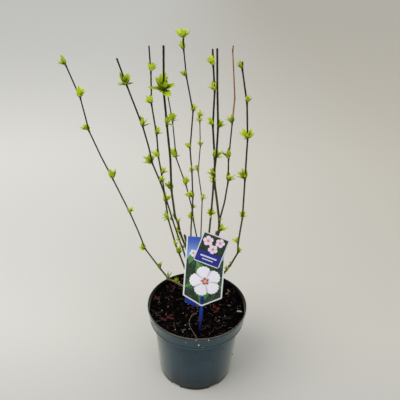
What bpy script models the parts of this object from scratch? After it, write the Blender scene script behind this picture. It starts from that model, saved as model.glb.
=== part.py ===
# Potted rose of sharon: a nursery pot of compost, a short trunk with pruned boughs, leafy canes and a label.
# Metres, +Z up. The origin is the middle of the pot's underside; -Y faces the viewer, +X is to the right.
import math
import random

import bmesh
import bpy
import numpy as np
from mathutils import Matrix, Vector, geometry, noise

# Gap between neighbouring pieces, and the distance at which loose vertices are welded
CLEARANCE = 0.0003
WELD = 0.00001

# Nursery pot
POT_HEIGHT = 0.158
RIM_RADIUS = 0.095
RIM_ROUNDING = 0.0005
LIP_HEIGHT = 0.005
LIP_STEP = 0.0008
COLLAR_FOOT_RADIUS = 0.0912
COLLAR_FOOT_HEIGHT = 0.129
SHOULDER_RADIUS = 0.0828
SHOULDER_DROP = 0.0026
BASE_RADIUS = 0.0736
BASE_CHAMFER = 0.0015
WALL = 0.0014
POT_STEPS = 60

# Drainage recesses moulded up into the pot's bottom edge
RECESS_COUNT = 6
RECESS_WIDTH = 0.0210
RECESS_HEIGHT = 0.0048
RECESS_NARROWING = 0.86
RECESS_INNER_RADIUS = 0.058
DRAIN_RADIUS = 0.0035
DRAIN_SIDES = 10

# Compost, filled to a little below the rim
SOIL_LEVEL = 0.147
SOIL_FOOT = RECESS_HEIGHT + WALL + CLEARANCE
SOIL_FLAT_RADIUS = 0.026
SOIL_RINGS = 4
SOIL_RELIEF = 0.0016
SOIL_LUMP = 0.013
SOIL_STEPS = 40

# Plant label: a printed card and a smaller one on a flat stake, leaning back towards the canes
STAKE_AT_SOIL = (0.006, -0.065, SOIL_LEVEL)
LABEL_LEAN = math.radians(17)
LABEL_YAW = math.radians(-3)
LABEL_TILT = math.radians(1.5)
CARD_WIDTH = 0.070
CARD_POINT_HEIGHT = 0.0495
CARD_POINT_DROP = 0.0185
CARD_SIDE = 0.110
CARD_THICKNESS = 0.0008
CARD_ROUNDING = 0.0022
SMALL_CARD_WIDTH = 0.048
SMALL_CARD_LENGTH = 0.056
SMALL_CARD_CORNER = (-0.0055, 0.190)
SMALL_CARD_TURN = math.radians(16.5)
SMALL_CARD_THICKNESS = 0.0006
SMALL_CARD_ROUNDING = 0.004
STAKE_THICKNESS = 0.0014
STAKE_WIDTH = 0.0064
STAKE_TIP_WIDTH = 0.0046
STAKE_DEPTH = 0.034
STAKE_POINT = 0.007
STAKE_TOP = 0.058
TONGUE_WIDTH = 0.0058
TONGUE_FOOT = 0.0570
TONGUE_TOP = 0.0685
TONGUE_PROUD = 0.0009

# The stake's head: its left arm shows below the card's edge, and the rest of it is behind the card
HEAD_OUTLINE = (
    (-0.0326, 0.0568), (-0.0125, 0.0471), (-0.0040, 0.0555), (0.0040, 0.0560),
    (0.0250, 0.0670), (0.0205, 0.0755), (0.0000, 0.0645), (-0.0283, 0.0655),
)

# Woody limbs: points on the middle line with the limb's radius there, from the foot to the cut end
TRUNK = (
    ((0.002, 0.008, SOIL_LEVEL + CLEARANCE), 0.0125),
    ((0.002, 0.008, 0.1495), 0.0098),
    ((0.0023, 0.0083, 0.155), 0.0078),
    ((0.003, 0.009, 0.164), 0.0074),
    ((0.0045, 0.0105, 0.172), 0.0090),
    ((0.0055, 0.0115, 0.179), 0.0092),
    ((0.0060, 0.0120, 0.184), 0.0066),
)
BOUGHS = {
    "bough_left": (
        ((0.000, 0.012, 0.176), 0.0040),
        ((-0.0055, 0.0155, 0.200), 0.0035),
        ((-0.0110, 0.0185, 0.228), 0.0032),
        ((-0.0150, 0.0200, 0.250), 0.0033),
        ((-0.0195, 0.0200, 0.270), 0.0025),
        ((-0.0265, 0.0180, 0.3005), 0.0021),
    ),
    "bough_middle": (
        ((0.006, 0.018, 0.176), 0.0038),
        ((0.0060, 0.0240, 0.195), 0.0032),
        ((0.0068, 0.0290, 0.212), 0.0032),
        ((0.0085, 0.0320, 0.229), 0.0026),
    ),
    "bough_right": (
        ((0.012, 0.009, 0.176), 0.0040),
        ((0.0185, 0.0115, 0.205), 0.0036),
        ((0.0265, 0.0155, 0.250), 0.0032),
        ((0.0318, 0.0180, 0.288), 0.0031),
        ((0.0309, 0.0160, 0.3110), 0.0019),
    ),
}
LIMB_SIDES = 10

# Sides that a leaf tuft leans to, as compass angles from +X; ALL is a tuft open all round
RIGHT, BACK, LEFT, FRONT, ALL = 0, 90, 180, 270, None

# Canes, each a mass of foliage: the bough or trunk that carries it, and its stems. A stem has the course that
# its middle line follows, its radius at the foot and at the tip, and its leaf tufts, each as the distance
# along the stem, the side it leans to and the length of its longest leaf. A length of 0 is a bare bud.
CANES = {
    "cane_far_left": ("trunk", (
        {
            "course": (
                (-0.002, 0.008, 0.17), (-0.039, 0.0065, 0.199), (-0.0555, 0.004, 0.2095),
                (-0.071, 0.001, 0.2355), (-0.09, -0.001, 0.268), (-0.11, -0.0075, 0.332),
                (-0.1695, -0.0145, 0.494), (-0.1795, -0.022, 0.552), (-0.194, -0.03, 0.612),
            ),
            "radii": (0.00115, 0.0007),
            "tufts": (
                (0.046, RIGHT, 0.013), (0.067, RIGHT, 0.018), (0.097, RIGHT, 0.015), (0.1495, LEFT, 0.015),
                (0.231, RIGHT, 0.015), (0.300, RIGHT, 0.020), (0.3885, LEFT, 0.017), (0.443, RIGHT, 0.020),
                (0.4935, LEFT, 0.015),
            ),
        },
    )),
    "cane_left_front": ("trunk", (
        {
            "course": (
                (-0.001, 0.006, 0.178), (-0.027, 0.0005, 0.272), (-0.049, -0.014, 0.3655),
                (-0.074, -0.036, 0.4635), (-0.08, -0.065, 0.5165), (-0.11, -0.095, 0.634),
            ),
            "radii": (0.00125, 0.0008),
            "tufts": (
                (0.110, RIGHT, 0.010), (0.131, FRONT, 0.014), (0.178, LEFT, 0.009), (0.259, RIGHT, 0.015),
                (0.301, LEFT, 0.019), (0.381, RIGHT, 0.017), (0.446, ALL, 0.020),
            ),
        },
    )),
    "cane_left_back": ("trunk", (
        {
            "course": (
                (-0.004, 0.009, 0.176), (-0.0365, 0.0185, 0.257), (-0.062, 0.03, 0.3585),
                (-0.0725, 0.04, 0.4425), (-0.0835, 0.052, 0.531), (-0.088, 0.065, 0.621),
            ),
            "radii": (0.0013, 0.0009),
            "tufts": (
                (0.088, RIGHT, 0.021), (0.107, FRONT, 0.017), (0.162, LEFT, 0.018), (0.194, RIGHT, 0.019),
                (0.247, RIGHT, 0.017), (0.278, LEFT, 0.019), (0.317, RIGHT, 0.016), (0.368, LEFT, 0.019),
                (0.419, RIGHT, 0.020),
            ),
        },
    )),
    "cane_left_thick": ("bough_left", (
        {
            "course": (
                (-0.0148, 0.0195, 0.246), (-0.044, 0.0115, 0.3505), (-0.05, -0.003, 0.457),
                (-0.0575, -0.0195, 0.5515), (-0.056, -0.04, 0.641),
            ),
            "radii": (0.0017, 0.0012),
            "tufts": (
                (0.063, LEFT, 0.017), (0.085, RIGHT, 0.013), (0.099, LEFT, 0.009), (0.157, LEFT, 0.018),
                (0.280, RIGHT, 0.018), (0.336, ALL, 0.028),
            ),
        },
    )),
    "cane_tallest": ("bough_left", (
        {
            "course": (
                (-0.015, 0.0205, 0.254), (-0.015, 0.0225, 0.319), (-0.012, 0.0245, 0.374),
                (-0.0185, 0.0275, 0.462), (-0.017, 0.0305, 0.527), (-0.026, 0.033, 0.581),
                (-0.033, 0.035, 0.642),
            ),
            "radii": (0.00115, 0.00075),
            "tufts": (
                (0.120, LEFT, 0.017), (0.170, ALL, 0.013), (0.211, LEFT, 0.014), (0.274, RIGHT, 0.015),
                (0.329, LEFT, 0.015), (0.369, LEFT, 0.016), (0.386, ALL, 0.021),
            ),
        },
    )),
    "cane_back_left": ("bough_middle", (
        {
            "course": (
                (0.006, 0.029, 0.208), (-0.0015, 0.0455, 0.264), (-0.0225, 0.0625, 0.361),
                (-0.043, 0.082, 0.4145), (-0.051, 0.103, 0.4605), (-0.065, 0.125, 0.528),
            ),
            "radii": (0.0011, 0.0007),
            "tufts": (
                (0.107, LEFT, 0.018), (0.129, RIGHT, 0.013), (0.176, RIGHT, 0.019), (0.229, LEFT, 0.023),
                (0.294, RIGHT, 0.021), (0.340, RIGHT, 0.014),
            ),
        },
    )),
    "cane_back_thin": ("bough_middle", (
        {
            "course": (
                (0.008, 0.031, 0.214), (0.0035, 0.051, 0.269), (0.0025, 0.08, 0.3395),
                (-0.0045, 0.1035, 0.389), (-0.003, 0.124, 0.4315), (-0.006, 0.15, 0.483),
            ),
            "radii": (0.0009, 0.0006),
            "tufts": (
                (0.135, RIGHT, 0.015), (0.190, LEFT, 0.015), (0.237, FRONT, 0.012), (0.282, ALL, 0.014),
                (0.292, ALL, 0.015),
            ),
        },
    )),
    "cane_forked": ("bough_right", (
        {
            "course": (
                (0.0318, 0.018, 0.287), (0.0345, 0.0222, 0.3265), (0.0248, 0.0295, 0.403),
                (0.018, 0.0405, 0.5005), (0.019, 0.047, 0.5555), (0.012, 0.055, 0.621),
            ),
            "radii": (0.0018, 0.0011),
            "tufts": (
                (0.021, RIGHT, 0.020), (0.041, RIGHT, 0.011), (0.117, LEFT, 0.019), (0.160, RIGHT, 0.021),
                (0.217, LEFT, 0.018), (0.273, LEFT, 0.018), (0.312, LEFT, 0.019),
            ),
        },
        {
            "course": (
                (0.0345, 0.0222, 0.3265), (0.0448, 0.037, 0.372), (0.049, 0.0555, 0.4745),
                (0.0525, 0.075, 0.5175), (0.046, 0.095, 0.62),
            ),
            "radii": (0.0013, 0.0006),
            "tufts": (
                (0.076, RIGHT, 0.020), (0.117, LEFT, 0.020), (0.178, LEFT, 0.018), (0.221, RIGHT, 0),
                (0.297, LEFT, 0),
            ),
        },
    )),
    "cane_middle_front": ("trunk", (
        {
            "course": (
                (0.008, 0.005, 0.176), (0.016, -0.0005, 0.2915), (0.021, -0.013, 0.42),
                (0.0225, -0.034, 0.502), (0.016, -0.06, 0.643),
            ),
            "radii": (0.0015, 0.0011),
            "tufts": (
                (0.183, ALL, 0.015), (0.264, LEFT, 0.017), (0.355, RIGHT, 0.015),
            ),
        },
    )),
    "cane_far_right": ("trunk", (
        {
            "course": (
                (0.0065, 0.004, 0.163), (0.0645, 0.0025, 0.256), (0.07, -0.0065, 0.302),
                (0.072, -0.0165, 0.364), (0.07, -0.0275, 0.4735), (0.065, -0.0385, 0.539),
                (0.051, -0.05, 0.625),
            ),
            "radii": (0.0014, 0.0009),
            "tufts": (
                (0.085, LEFT, 0.015), (0.100, LEFT, 0.010), (0.133, RIGHT, 0.012), (0.158, LEFT, 0.015),
                (0.218, ALL, 0.013), (0.292, LEFT, 0.020), (0.365, ALL, 0.020), (0.424, RIGHT, 0.015),
                (0.474, LEFT, 0.015),
            ),
        },
    )),
}
CANE_SIDES = 6
CURVE_STEPS = 24
LONGEST_STRAIGHT = 0.075
COLLAR_LENGTH = 0.006
COLLAR_SWELL = 1.4
KNUCKLE_LENGTH = 0.0025
KNUCKLE_SWELL = 1.45
KINK = 0.0011

# Leaves: how a tuft's leaves open out, and a leaf's shape as shares of its length
SEED = 41
LEAF_PER_LENGTH = 0.0040
FEWEST_LEAVES = 3
TUFT_FAN = math.radians(40)
TUFT_SCATTER = math.radians(14)
SIDE_SCATTER = math.radians(32)
OPENING = math.radians(16)
OPENING_STEP = math.radians(14)
OPENING_SCATTER = math.radians(8)
SHORTEST_LEAF = 0.78
LEAF_WIDTH = 0.50
LEAF_THICKNESS = 0.13
LEAF_WAIST = 0.44
LEAF_CURL = 0.10
LEAF_ROOT_DEPTH = 0.0006
LEAF_SPACE = 0.0012
LABEL_SPACE = 0.003


def clear_scene():
    for old in list(bpy.data.objects):
        bpy.data.objects.remove(old)


def new_collection(name):
    collection = bpy.data.collections.new(name)
    bpy.context.scene.collection.children.link(collection)
    return collection


def make_material(name, colour, roughness):
    material = bpy.data.materials.new(name)
    material.use_nodes = True
    shader = material.node_tree.nodes["Principled BSDF"]
    shader.inputs["Base Color"].default_value = (*colour, 1)
    shader.inputs["Roughness"].default_value = roughness
    shader.inputs["Metallic"].default_value = 0
    return material


def add_object(name, data, collection, material=None):
    piece = bpy.data.objects.new(name, data)
    collection.objects.link(piece)
    if material:
        data.materials.append(material)
    return piece


def hide_as_cutter(piece):
    piece.hide_render = True
    piece.display_type = "WIRE"
    return piece


def mesh_from(shape):
    """The shape's finished mesh, where a curve's end caps are welded on."""
    bpy.context.view_layer.update()
    finished = shape.evaluated_get(bpy.context.evaluated_depsgraph_get())
    mesh = bpy.data.meshes.new_from_object(finished)
    if shape.type == "CURVE":
        work = bmesh.new()
        work.from_mesh(mesh)
        bmesh.ops.remove_doubles(work, verts=work.verts, dist=WELD)
        work.to_mesh(mesh)
        work.free()
    return mesh


def baked(shape):
    """The shape with its modifiers applied, or a curve turned into a mesh, at the same place."""
    mesh = mesh_from(shape)
    name, place, collection = shape.name, shape.matrix_world.copy(), shape.users_collection[0]
    for material in shape.data.materials:
        if material and material.name not in mesh.materials:
            mesh.materials.append(material)
    bpy.data.objects.remove(shape)
    piece = add_object(name, mesh, collection)
    piece.matrix_world = place
    return piece


def add_boolean(piece, operation, operand):
    """A Boolean with one object or with every object in a collection."""
    modifier = piece.modifiers.new(operation.title(), "BOOLEAN")
    modifier.operation = operation
    if isinstance(operand, bpy.types.Collection):
        modifier.operand_type = "COLLECTION"
        modifier.collection = operand
    else:
        modifier.object = operand


def add_turned(name, profile, steps, collection, material):
    """A closed body turned about Z from (radius, height) points that run down its outer side."""
    mesh = bpy.data.meshes.new(name)
    edges = [(index, index + 1) for index in range(len(profile) - 1)]
    mesh.from_pydata([(radius, 0, height) for radius, height in profile], edges, [])
    piece = add_object(name, mesh, collection, material)
    screw = piece.modifiers.new("Turn", "SCREW")
    screw.steps = screw.render_steps = steps
    screw.use_merge_vertices = True
    screw.merge_threshold = WELD
    return piece


def add_flat(name, outlines, thickness, collection, material):
    """A flat plate lying on z = 0, from its outline and the outlines of its holes."""
    curve = bpy.data.curves.new(name, "CURVE")
    curve.dimensions = "2D"
    curve.fill_mode = "BOTH"
    curve.extrude = thickness / 2
    for outline in outlines:
        spline = curve.splines.new("POLY")
        spline.points.add(len(outline) - 1)
        spline.use_cyclic_u = True
        for point, (x, y) in zip(spline.points, outline):
            point.co = (x, y, 0, 1)
    piece = add_object(name, curve, collection, material)
    piece.location.z = thickness / 2
    return baked(piece)


def add_limb(name, spine, sides, collection, material=None, extra=0.0):
    """A round limb through (point, radius) pairs with flat ends, made thicker all round by extra."""
    curve = bpy.data.curves.new(name, "CURVE")
    curve.dimensions = "3D"
    curve.bevel_depth = 1.0
    curve.bevel_resolution = sides // 2 - 2
    curve.use_fill_caps = True
    spline = curve.splines.new("POLY")
    spline.points.add(len(spine) - 1)
    for point, (place, radius) in zip(spline.points, spine):
        point.co = (*place, 1)
        point.radius = radius + extra
    return baked(add_object(name, curve, collection, material))


def rounded(corners, radius, steps=3):
    """The outline with an arc of the given radius at each corner."""
    outline = []
    count = len(corners)
    for index in range(count):
        corner = Vector(corners[index])
        back = (Vector(corners[index - 1]) - corner).normalized()
        ahead = (Vector(corners[(index + 1) % count]) - corner).normalized()
        half = back.angle(ahead) / 2
        centre = corner + (back + ahead).normalized() * radius / math.sin(half)
        spoke = corner + back * radius / math.tan(half) - centre
        sweep = math.copysign(math.pi - 2 * half, ahead.cross(back))
        for step in range(steps + 1):
            outline.append(tuple(centre + Matrix.Rotation(sweep * step / steps, 2) @ spoke))
    return outline


def outer_wall():
    """The pot's outside as (radius, height) points, from the rim down to the bottom edge."""
    lip_foot = POT_HEIGHT - LIP_HEIGHT
    shoulder = COLLAR_FOOT_HEIGHT - SHOULDER_DROP
    return [
        (RIM_RADIUS - RIM_ROUNDING, POT_HEIGHT),
        (RIM_RADIUS, POT_HEIGHT - RIM_ROUNDING),
        (RIM_RADIUS, lip_foot),
        (RIM_RADIUS - LIP_STEP, lip_foot - LIP_STEP),
        (COLLAR_FOOT_RADIUS, COLLAR_FOOT_HEIGHT),
        (COLLAR_FOOT_RADIUS - LIP_STEP, COLLAR_FOOT_HEIGHT - LIP_STEP),
        (SHOULDER_RADIUS, shoulder),
        (BASE_RADIUS, BASE_CHAMFER),
        (BASE_RADIUS - BASE_CHAMFER, 0),
    ]


def inner_wall():
    """The pot's inside as (radius, height) points, from the floor's edge up to the rim."""
    shoulder = COLLAR_FOOT_HEIGHT - SHOULDER_DROP
    return [
        (BASE_RADIUS - WALL, WALL),
        (SHOULDER_RADIUS - WALL, shoulder + WALL),
        (COLLAR_FOOT_RADIUS - WALL, COLLAR_FOOT_HEIGHT + WALL),
        (RIM_RADIUS - LIP_STEP - WALL, POT_HEIGHT),
    ]


def inner_radius(height):
    """The radius of the pot's inside at a height."""
    radii, heights = zip(*inner_wall())
    return float(np.interp(height, heights, radii))


def add_recess_block(name, wall, collection):
    """The solid that a drainage recess takes up, made larger by wall on its sides, top and inner end."""
    inner = RECESS_INNER_RADIUS - wall
    outer = BASE_RADIUS - WALL / 2 if wall else BASE_RADIUS + WALL
    foot = WALL / 2 if wall else -WALL
    top = RECESS_HEIGHT + wall
    work = bmesh.new()
    bmesh.ops.create_cube(work, size=1)
    for vertex in work.verts:
        narrowing = RECESS_NARROWING if vertex.co.z > 0 else 1
        vertex.co.y *= (RECESS_WIDTH + 2 * wall) * narrowing
        vertex.co.x = outer if vertex.co.x > 0 else inner
        vertex.co.z = top if vertex.co.z > 0 else foot
    mesh = bpy.data.meshes.new(name)
    work.to_mesh(mesh)
    work.free()
    return hide_as_cutter(add_object(name, mesh, collection))


def add_drain(name, collection):
    """The round hole through a recess's roof."""
    work = bmesh.new()
    place = Matrix.Translation(((RECESS_INNER_RADIUS + BASE_RADIUS) / 2, 0, RECESS_HEIGHT))
    bmesh.ops.create_cone(
        work,
        cap_ends=True,
        segments=DRAIN_SIDES,
        radius1=DRAIN_RADIUS,
        radius2=DRAIN_RADIUS,
        depth=4 * WALL,
        matrix=place,
    )
    mesh = bpy.data.meshes.new(name)
    work.to_mesh(mesh)
    work.free()
    return hide_as_cutter(add_object(name, mesh, collection))


def make_pot(collection, material):
    profile = [(0, WALL)] + inner_wall() + outer_wall() + [(0, 0)]
    pot = add_turned("pot", profile, POT_STEPS, collection, material)
    housings = new_collection("recess_housings")
    recesses = new_collection("recess_cutters")
    for index in range(RECESS_COUNT):
        turn = Matrix.Rotation(math.tau * index / RECESS_COUNT, 4, "Z")
        add_recess_block(f"housing_{index}", WALL, housings).matrix_world = turn
        add_recess_block(f"recess_{index}", 0, recesses).matrix_world = turn
        add_drain(f"drain_{index}", recesses).matrix_world = turn
    add_boolean(pot, "UNION", housings)
    add_boolean(pot, "DIFFERENCE", recesses)
    return pot


def make_soil(collection, material, stake_slot):
    """The compost: it fills the pot, is level round the trunk and slightly lumpy towards the wall."""
    shoulder_radius, shoulder_height = inner_wall()[1]
    ledge_radius, ledge_height = inner_wall()[2]
    edge = inner_radius(SOIL_LEVEL) - CLEARANCE
    rings = [float(radius) for radius in np.linspace(SOIL_FLAT_RADIUS, edge, SOIL_RINGS + 1)]
    profile = [(0, SOIL_LEVEL)] + [(radius, SOIL_LEVEL) for radius in rings]
    profile += [
        (ledge_radius - CLEARANCE, ledge_height + CLEARANCE),
        (shoulder_radius - CLEARANCE, shoulder_height + CLEARANCE),
        (inner_radius(SOIL_FOOT) - CLEARANCE, SOIL_FOOT),
        (0, SOIL_FOOT),
    ]
    soil = baked(add_turned("soil", profile, SOIL_STEPS, collection, material))
    for vertex in soil.data.vertices:
        if vertex.co.z > SOIL_LEVEL - WELD and SOIL_FLAT_RADIUS + WELD < vertex.co.xy.length < edge - WELD:
            vertex.co.z += SOIL_RELIEF * noise.noise(vertex.co / SOIL_LUMP)
    add_boolean(soil, "DIFFERENCE", stake_slot)
    return soil


def label_place():
    """The label's frame at the stake's place: x across the card, y up it and z out of its front."""
    stand = Matrix.Rotation(LABEL_YAW, 4, "Z") @ Matrix.Rotation(math.radians(90) - LABEL_LEAN, 4, "X")
    return Matrix.Translation(STAKE_AT_SOIL) @ stand @ Matrix.Rotation(-LABEL_TILT, 4, "Z")


def box_outline(half_width, foot, top):
    return [(-half_width, foot), (half_width, foot), (half_width, top), (-half_width, top)]


def card_corners():
    half, foot = CARD_WIDTH / 2, CARD_POINT_HEIGHT + CARD_POINT_DROP
    top = foot + CARD_SIDE
    return [(0, CARD_POINT_HEIGHT), (half, foot), (half, top), (-half, top), (-half, foot)]


def make_card(collection, material):
    slot = box_outline(TONGUE_WIDTH / 2 + CLEARANCE, TONGUE_FOOT - CLEARANCE, TONGUE_TOP + CLEARANCE)
    outlines = [rounded(card_corners(), CARD_ROUNDING), slot]
    card = add_flat("label_card", outlines, CARD_THICKNESS, collection, material)
    card.matrix_world = label_place() @ card.matrix_world
    return card


def make_small_card(collection, material):
    corners = [(0, 0), (0, -SMALL_CARD_LENGTH), (SMALL_CARD_WIDTH, -SMALL_CARD_LENGTH), (SMALL_CARD_WIDTH, 0)]
    outlines = [rounded(corners, SMALL_CARD_ROUNDING)]
    card = add_flat("label_small_card", outlines, SMALL_CARD_THICKNESS, collection, material)
    corner = Matrix.Translation((*SMALL_CARD_CORNER, CARD_THICKNESS + CLEARANCE))
    card.matrix_world = label_place() @ corner @ Matrix.Rotation(-SMALL_CARD_TURN, 4, "Z") @ card.matrix_world
    return card


def make_stake(collection, material):
    """The flat stake behind the card: a pointed leg, a two-armed head and a tongue that fills the slit."""
    half, tip_half = STAKE_WIDTH / 2, STAKE_TIP_WIDTH / 2
    leg = [(0, -STAKE_DEPTH), (tip_half, STAKE_POINT - STAKE_DEPTH), (half, 0), (half, STAKE_TOP)]
    leg += [(-half, STAKE_TOP), (-half, 0), (-tip_half, STAKE_POINT - STAKE_DEPTH)]
    stake = add_flat("label_stake", [leg], STAKE_THICKNESS, collection, material)
    additions = new_collection("stake_additions")
    add_flat("stake_head", [HEAD_OUTLINE], STAKE_THICKNESS, additions, None)
    tongue_depth = STAKE_THICKNESS + CLEARANCE + CARD_THICKNESS + TONGUE_PROUD
    tongue_outline = box_outline(TONGUE_WIDTH / 2, TONGUE_FOOT, TONGUE_TOP)
    tongue = add_flat("stake_tongue", [tongue_outline], tongue_depth, additions, None)
    tongue.matrix_world = Matrix.Translation((0, -CLEARANCE, 0)) @ tongue.matrix_world
    add_boolean(stake, "UNION", additions)
    stake = baked(stake)
    remove_collection(additions)
    behind = Matrix.Translation((0, 0, -CLEARANCE - STAKE_THICKNESS))
    stake.matrix_world = label_place() @ behind @ stake.matrix_world
    return stake


def make_stake_slot(collection):
    """The slit that the stake's leg makes in the compost, a clearance wider all round."""
    half, foot = STAKE_WIDTH / 2 + CLEARANCE, -STAKE_DEPTH - CLEARANCE
    outline = box_outline(half, foot, STAKE_POINT)
    slot = add_flat("stake_slot", [outline], STAKE_THICKNESS + 2 * CLEARANCE, collection, None)
    behind = Matrix.Translation((0, 0, -2 * CLEARANCE - STAKE_THICKNESS))
    slot.matrix_world = label_place() @ behind @ slot.matrix_world
    return hide_as_cutter(slot)


def remove_collection(collection):
    for piece in list(collection.objects):
        bpy.data.objects.remove(piece)
    bpy.data.collections.remove(collection)


def smooth_course(course):
    """Closely spaced points on a smooth curve through the course's points."""
    knots = [Vector(point) for point in course]
    around = zip([knots[0]] + knots, knots[1:] + [knots[-1]])
    headings = [(after - before).normalized() for before, after in around]
    curve = []
    for start, end, leaving, arriving in zip(knots, knots[1:], headings, headings[1:]):
        reach = (end - start).length / 3
        curve += geometry.interpolate_bezier(
            start, start + leaving * reach, end - arriving * reach, end, CURVE_STEPS
        )[:-1]
    return curve + [knots[-1]]


def point_along(curve, distance):
    """The point at a distance along the curve, and the curve's direction there."""
    for start, end in zip(curve, curve[1:]):
        length = (end - start).length
        if distance <= length:
            return start.lerp(end, distance / length), (end - start).normalized()
        distance -= length
    return curve[-1].copy(), (curve[-1] - curve[-2]).normalized()


def side_vector(angle, heading):
    """The unit vector across the heading that points to a compass angle."""
    flat = Vector((math.cos(angle), math.sin(angle), 0))
    return (flat - flat.dot(heading) * heading).normalized()


def stem_joints(stem):
    """The stem's turning points as (distance, point, swell): foot, tufts, tip and middles of long runs."""
    curve = smooth_course(stem["course"])
    length = sum((end - start).length for start, end in zip(curve, curve[1:]))
    joints = [(0.0, curve[0], COLLAR_SWELL)]
    for distance, side, _ in stem["tufts"]:
        point, heading = point_along(curve, distance)
        if side is not None:
            point = point + side_vector(math.radians(side), heading) * KINK
        joints.append((distance, point, KNUCKLE_SWELL))
    if length - joints[-1][0] > KNUCKLE_LENGTH * 2:
        joints.append((length, curve[-1], 1.0))
    filled = joints[:1]
    for before, after in zip(joints, joints[1:]):
        parts = math.ceil((after[0] - before[0]) / LONGEST_STRAIGHT)
        for part in range(1, parts):
            distance = before[0] + (after[0] - before[0]) * part / parts
            filled.append((distance, point_along(curve, distance)[0], 1.0))
        filled.append(after)
    return filled, length


def stem_spine(stem):
    """The stem's (point, radius) pairs, straight between its joints and swollen at each knuckle."""
    joints, length = stem_joints(stem)
    foot_radius, tip_radius = stem["radii"]
    spine = []
    for index, (distance, point, swell) in enumerate(joints):
        radius = foot_radius + (tip_radius - foot_radius) * distance / length
        if swell == KNUCKLE_SWELL and index:
            toward = (joints[index - 1][1] - point).normalized()
            spine.append((point + toward * KNUCKLE_LENGTH, radius))
        spine.append((point, radius * swell))
        if swell != 1.0 and index + 1 < len(joints):
            toward = (joints[index + 1][1] - point).normalized()
            reach = KNUCKLE_LENGTH if index else COLLAR_LENGTH
            spine.append((point + toward * reach, radius))
    return spine


def tuft_leaves(stem, dice):
    """Where each leaf of the stem grows, as (root, direction, outward side, length), by a seeded rule."""
    leaves = []
    joints = {round(distance, 6): point for distance, point, _ in stem_joints(stem)[0]}
    curve = smooth_course(stem["course"])
    for distance, side, longest in stem["tufts"]:
        root = joints[round(distance, 6)]
        heading = point_along(curve, distance)[1]
        count = max(FEWEST_LEAVES, round(longest / LEAF_PER_LENGTH)) if longest else 0
        lean = dice.uniform(-1, 1)
        for index in range(count):
            if side is None:
                angle = math.tau * (index / count + lean)
            else:
                angle = math.radians(side) + lean * SIDE_SCATTER + (index - (count - 1) / 2) * TUFT_FAN
            outward = side_vector(angle + dice.uniform(-1, 1) * TUFT_SCATTER, heading)
            opening = OPENING + OPENING_STEP * (index % 3) + dice.uniform(-1, 1) * OPENING_SCATTER
            length = longest * dice.uniform(SHORTEST_LEAF, 1)
            direction = heading * math.cos(opening) + outward * math.sin(opening)
            leaves.append((root, direction, outward, length))
    return leaves


def leaf_mesh(name, root, direction, outward, length):
    """A leaf as two four-sided points that meet at its waist, curling outwards to its tip."""
    back = (outward - outward.dot(direction) * direction).normalized()
    across = direction.cross(back)
    work = bmesh.new()
    bmesh.ops.create_uvsphere(work, u_segments=4, v_segments=2, radius=0.5)
    for vertex in work.verts:
        x, y, z = vertex.co
        share = 0.0 if z < -0.4 else 1.0 if z > 0.4 else LEAF_WAIST
        along = direction * (share * length - LEAF_ROOT_DEPTH)
        sideways = across * (x * LEAF_WIDTH * length)
        drop = back * (LEAF_CURL * share * share + LEAF_THICKNESS * y) * length
        vertex.co = root + along + sideways + drop
    bmesh.ops.recalc_face_normals(work, faces=work.faces)
    mesh = bpy.data.meshes.new(name)
    work.to_mesh(mesh)
    work.free()
    return mesh


def nearest(points, line):
    """The least distance from each point to a line of straight runs, both as arrays."""
    starts, runs = line[:-1], np.diff(line, axis=0)
    offset = points[:, None, :] - starts[None]
    share = np.clip((offset * runs).sum(2) / (runs * runs).sum(1), 0, 1)
    return np.linalg.norm(offset - share[..., None] * runs, axis=2).min(1)


def leaf_has_room(points, own_lines, other_lines, to_label):
    """True for a leaf nearer its own cane than any other limb all along, and clear of compost and label."""
    if points[:, 2].min() < SOIL_LEVEL + SOIL_RELIEF + LEAF_SPACE:
        return False
    own = np.min([nearest(points, line) for line in own_lines], axis=0)
    for line in other_lines:
        if (nearest(points, line) < own + LEAF_SPACE).any():
            return False
    local = np.array([to_label @ Vector(point) for point in points])
    reach = CARD_WIDTH / 2 + LABEL_SPACE
    beside_card = (abs(local[:, 0]) < reach) & (local[:, 1] < SMALL_CARD_CORNER[1] + LABEL_SPACE)
    beside_small_card = (local[:, 0] > 0) & (local[:, 0] < CARD_WIDTH) & (local[:, 1] < SMALL_CARD_CORNER[1])
    return not ((beside_card | beside_small_card) & (abs(local[:, 2]) < 2 * LABEL_SPACE)).any()


def make_cane(name, number, carrier_spine, stems, lines, collection, material):
    """A cane: stems and leaves fused to one body, its foot cut a clearance short of its carrier."""
    dice = random.Random(SEED + number)
    additions = new_collection(name + "_additions")
    own_lines = lines[name]
    other_lines = [line for other, group in lines.items() if other != name for line in group]
    to_label = label_place().inverted()
    cane = add_limb(name, stem_spine(stems[0]), CANE_SIDES, collection, material)
    for index, stem in enumerate(stems[1:]):
        add_limb(f"{name}_stem_{index}", stem_spine(stem), CANE_SIDES, additions)
    for stem in stems:
        for index, (root, direction, outward, length) in enumerate(tuft_leaves(stem, dice)):
            mesh = leaf_mesh(f"{name}_leaf_{index}", root, direction, outward, length)
            points = np.array([vertex.co for vertex in mesh.vertices])
            if leaf_has_room(points, own_lines, other_lines, to_label):
                add_object(mesh.name, mesh, additions)
            else:
                bpy.data.meshes.remove(mesh)
    seat = add_limb(name + "_seat", carrier_spine, LIMB_SIDES, additions, None, CLEARANCE)
    add_boolean(cane, "DIFFERENCE", seat)
    cane = baked(cane)
    bpy.data.objects.remove(seat)
    add_boolean(cane, "UNION", additions)
    cane = baked(cane)
    remove_collection(additions)
    return cane


def make_bough(name, spine, collection, material):
    """A bough, cut a clearance short of the trunk."""
    bough = add_limb(name, spine, LIMB_SIDES, collection, material)
    seat = add_limb(name + "_seat", TRUNK, LIMB_SIDES, collection, None, CLEARANCE)
    add_boolean(bough, "DIFFERENCE", seat)
    bough = baked(bough)
    bpy.data.objects.remove(seat)
    return bough


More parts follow.
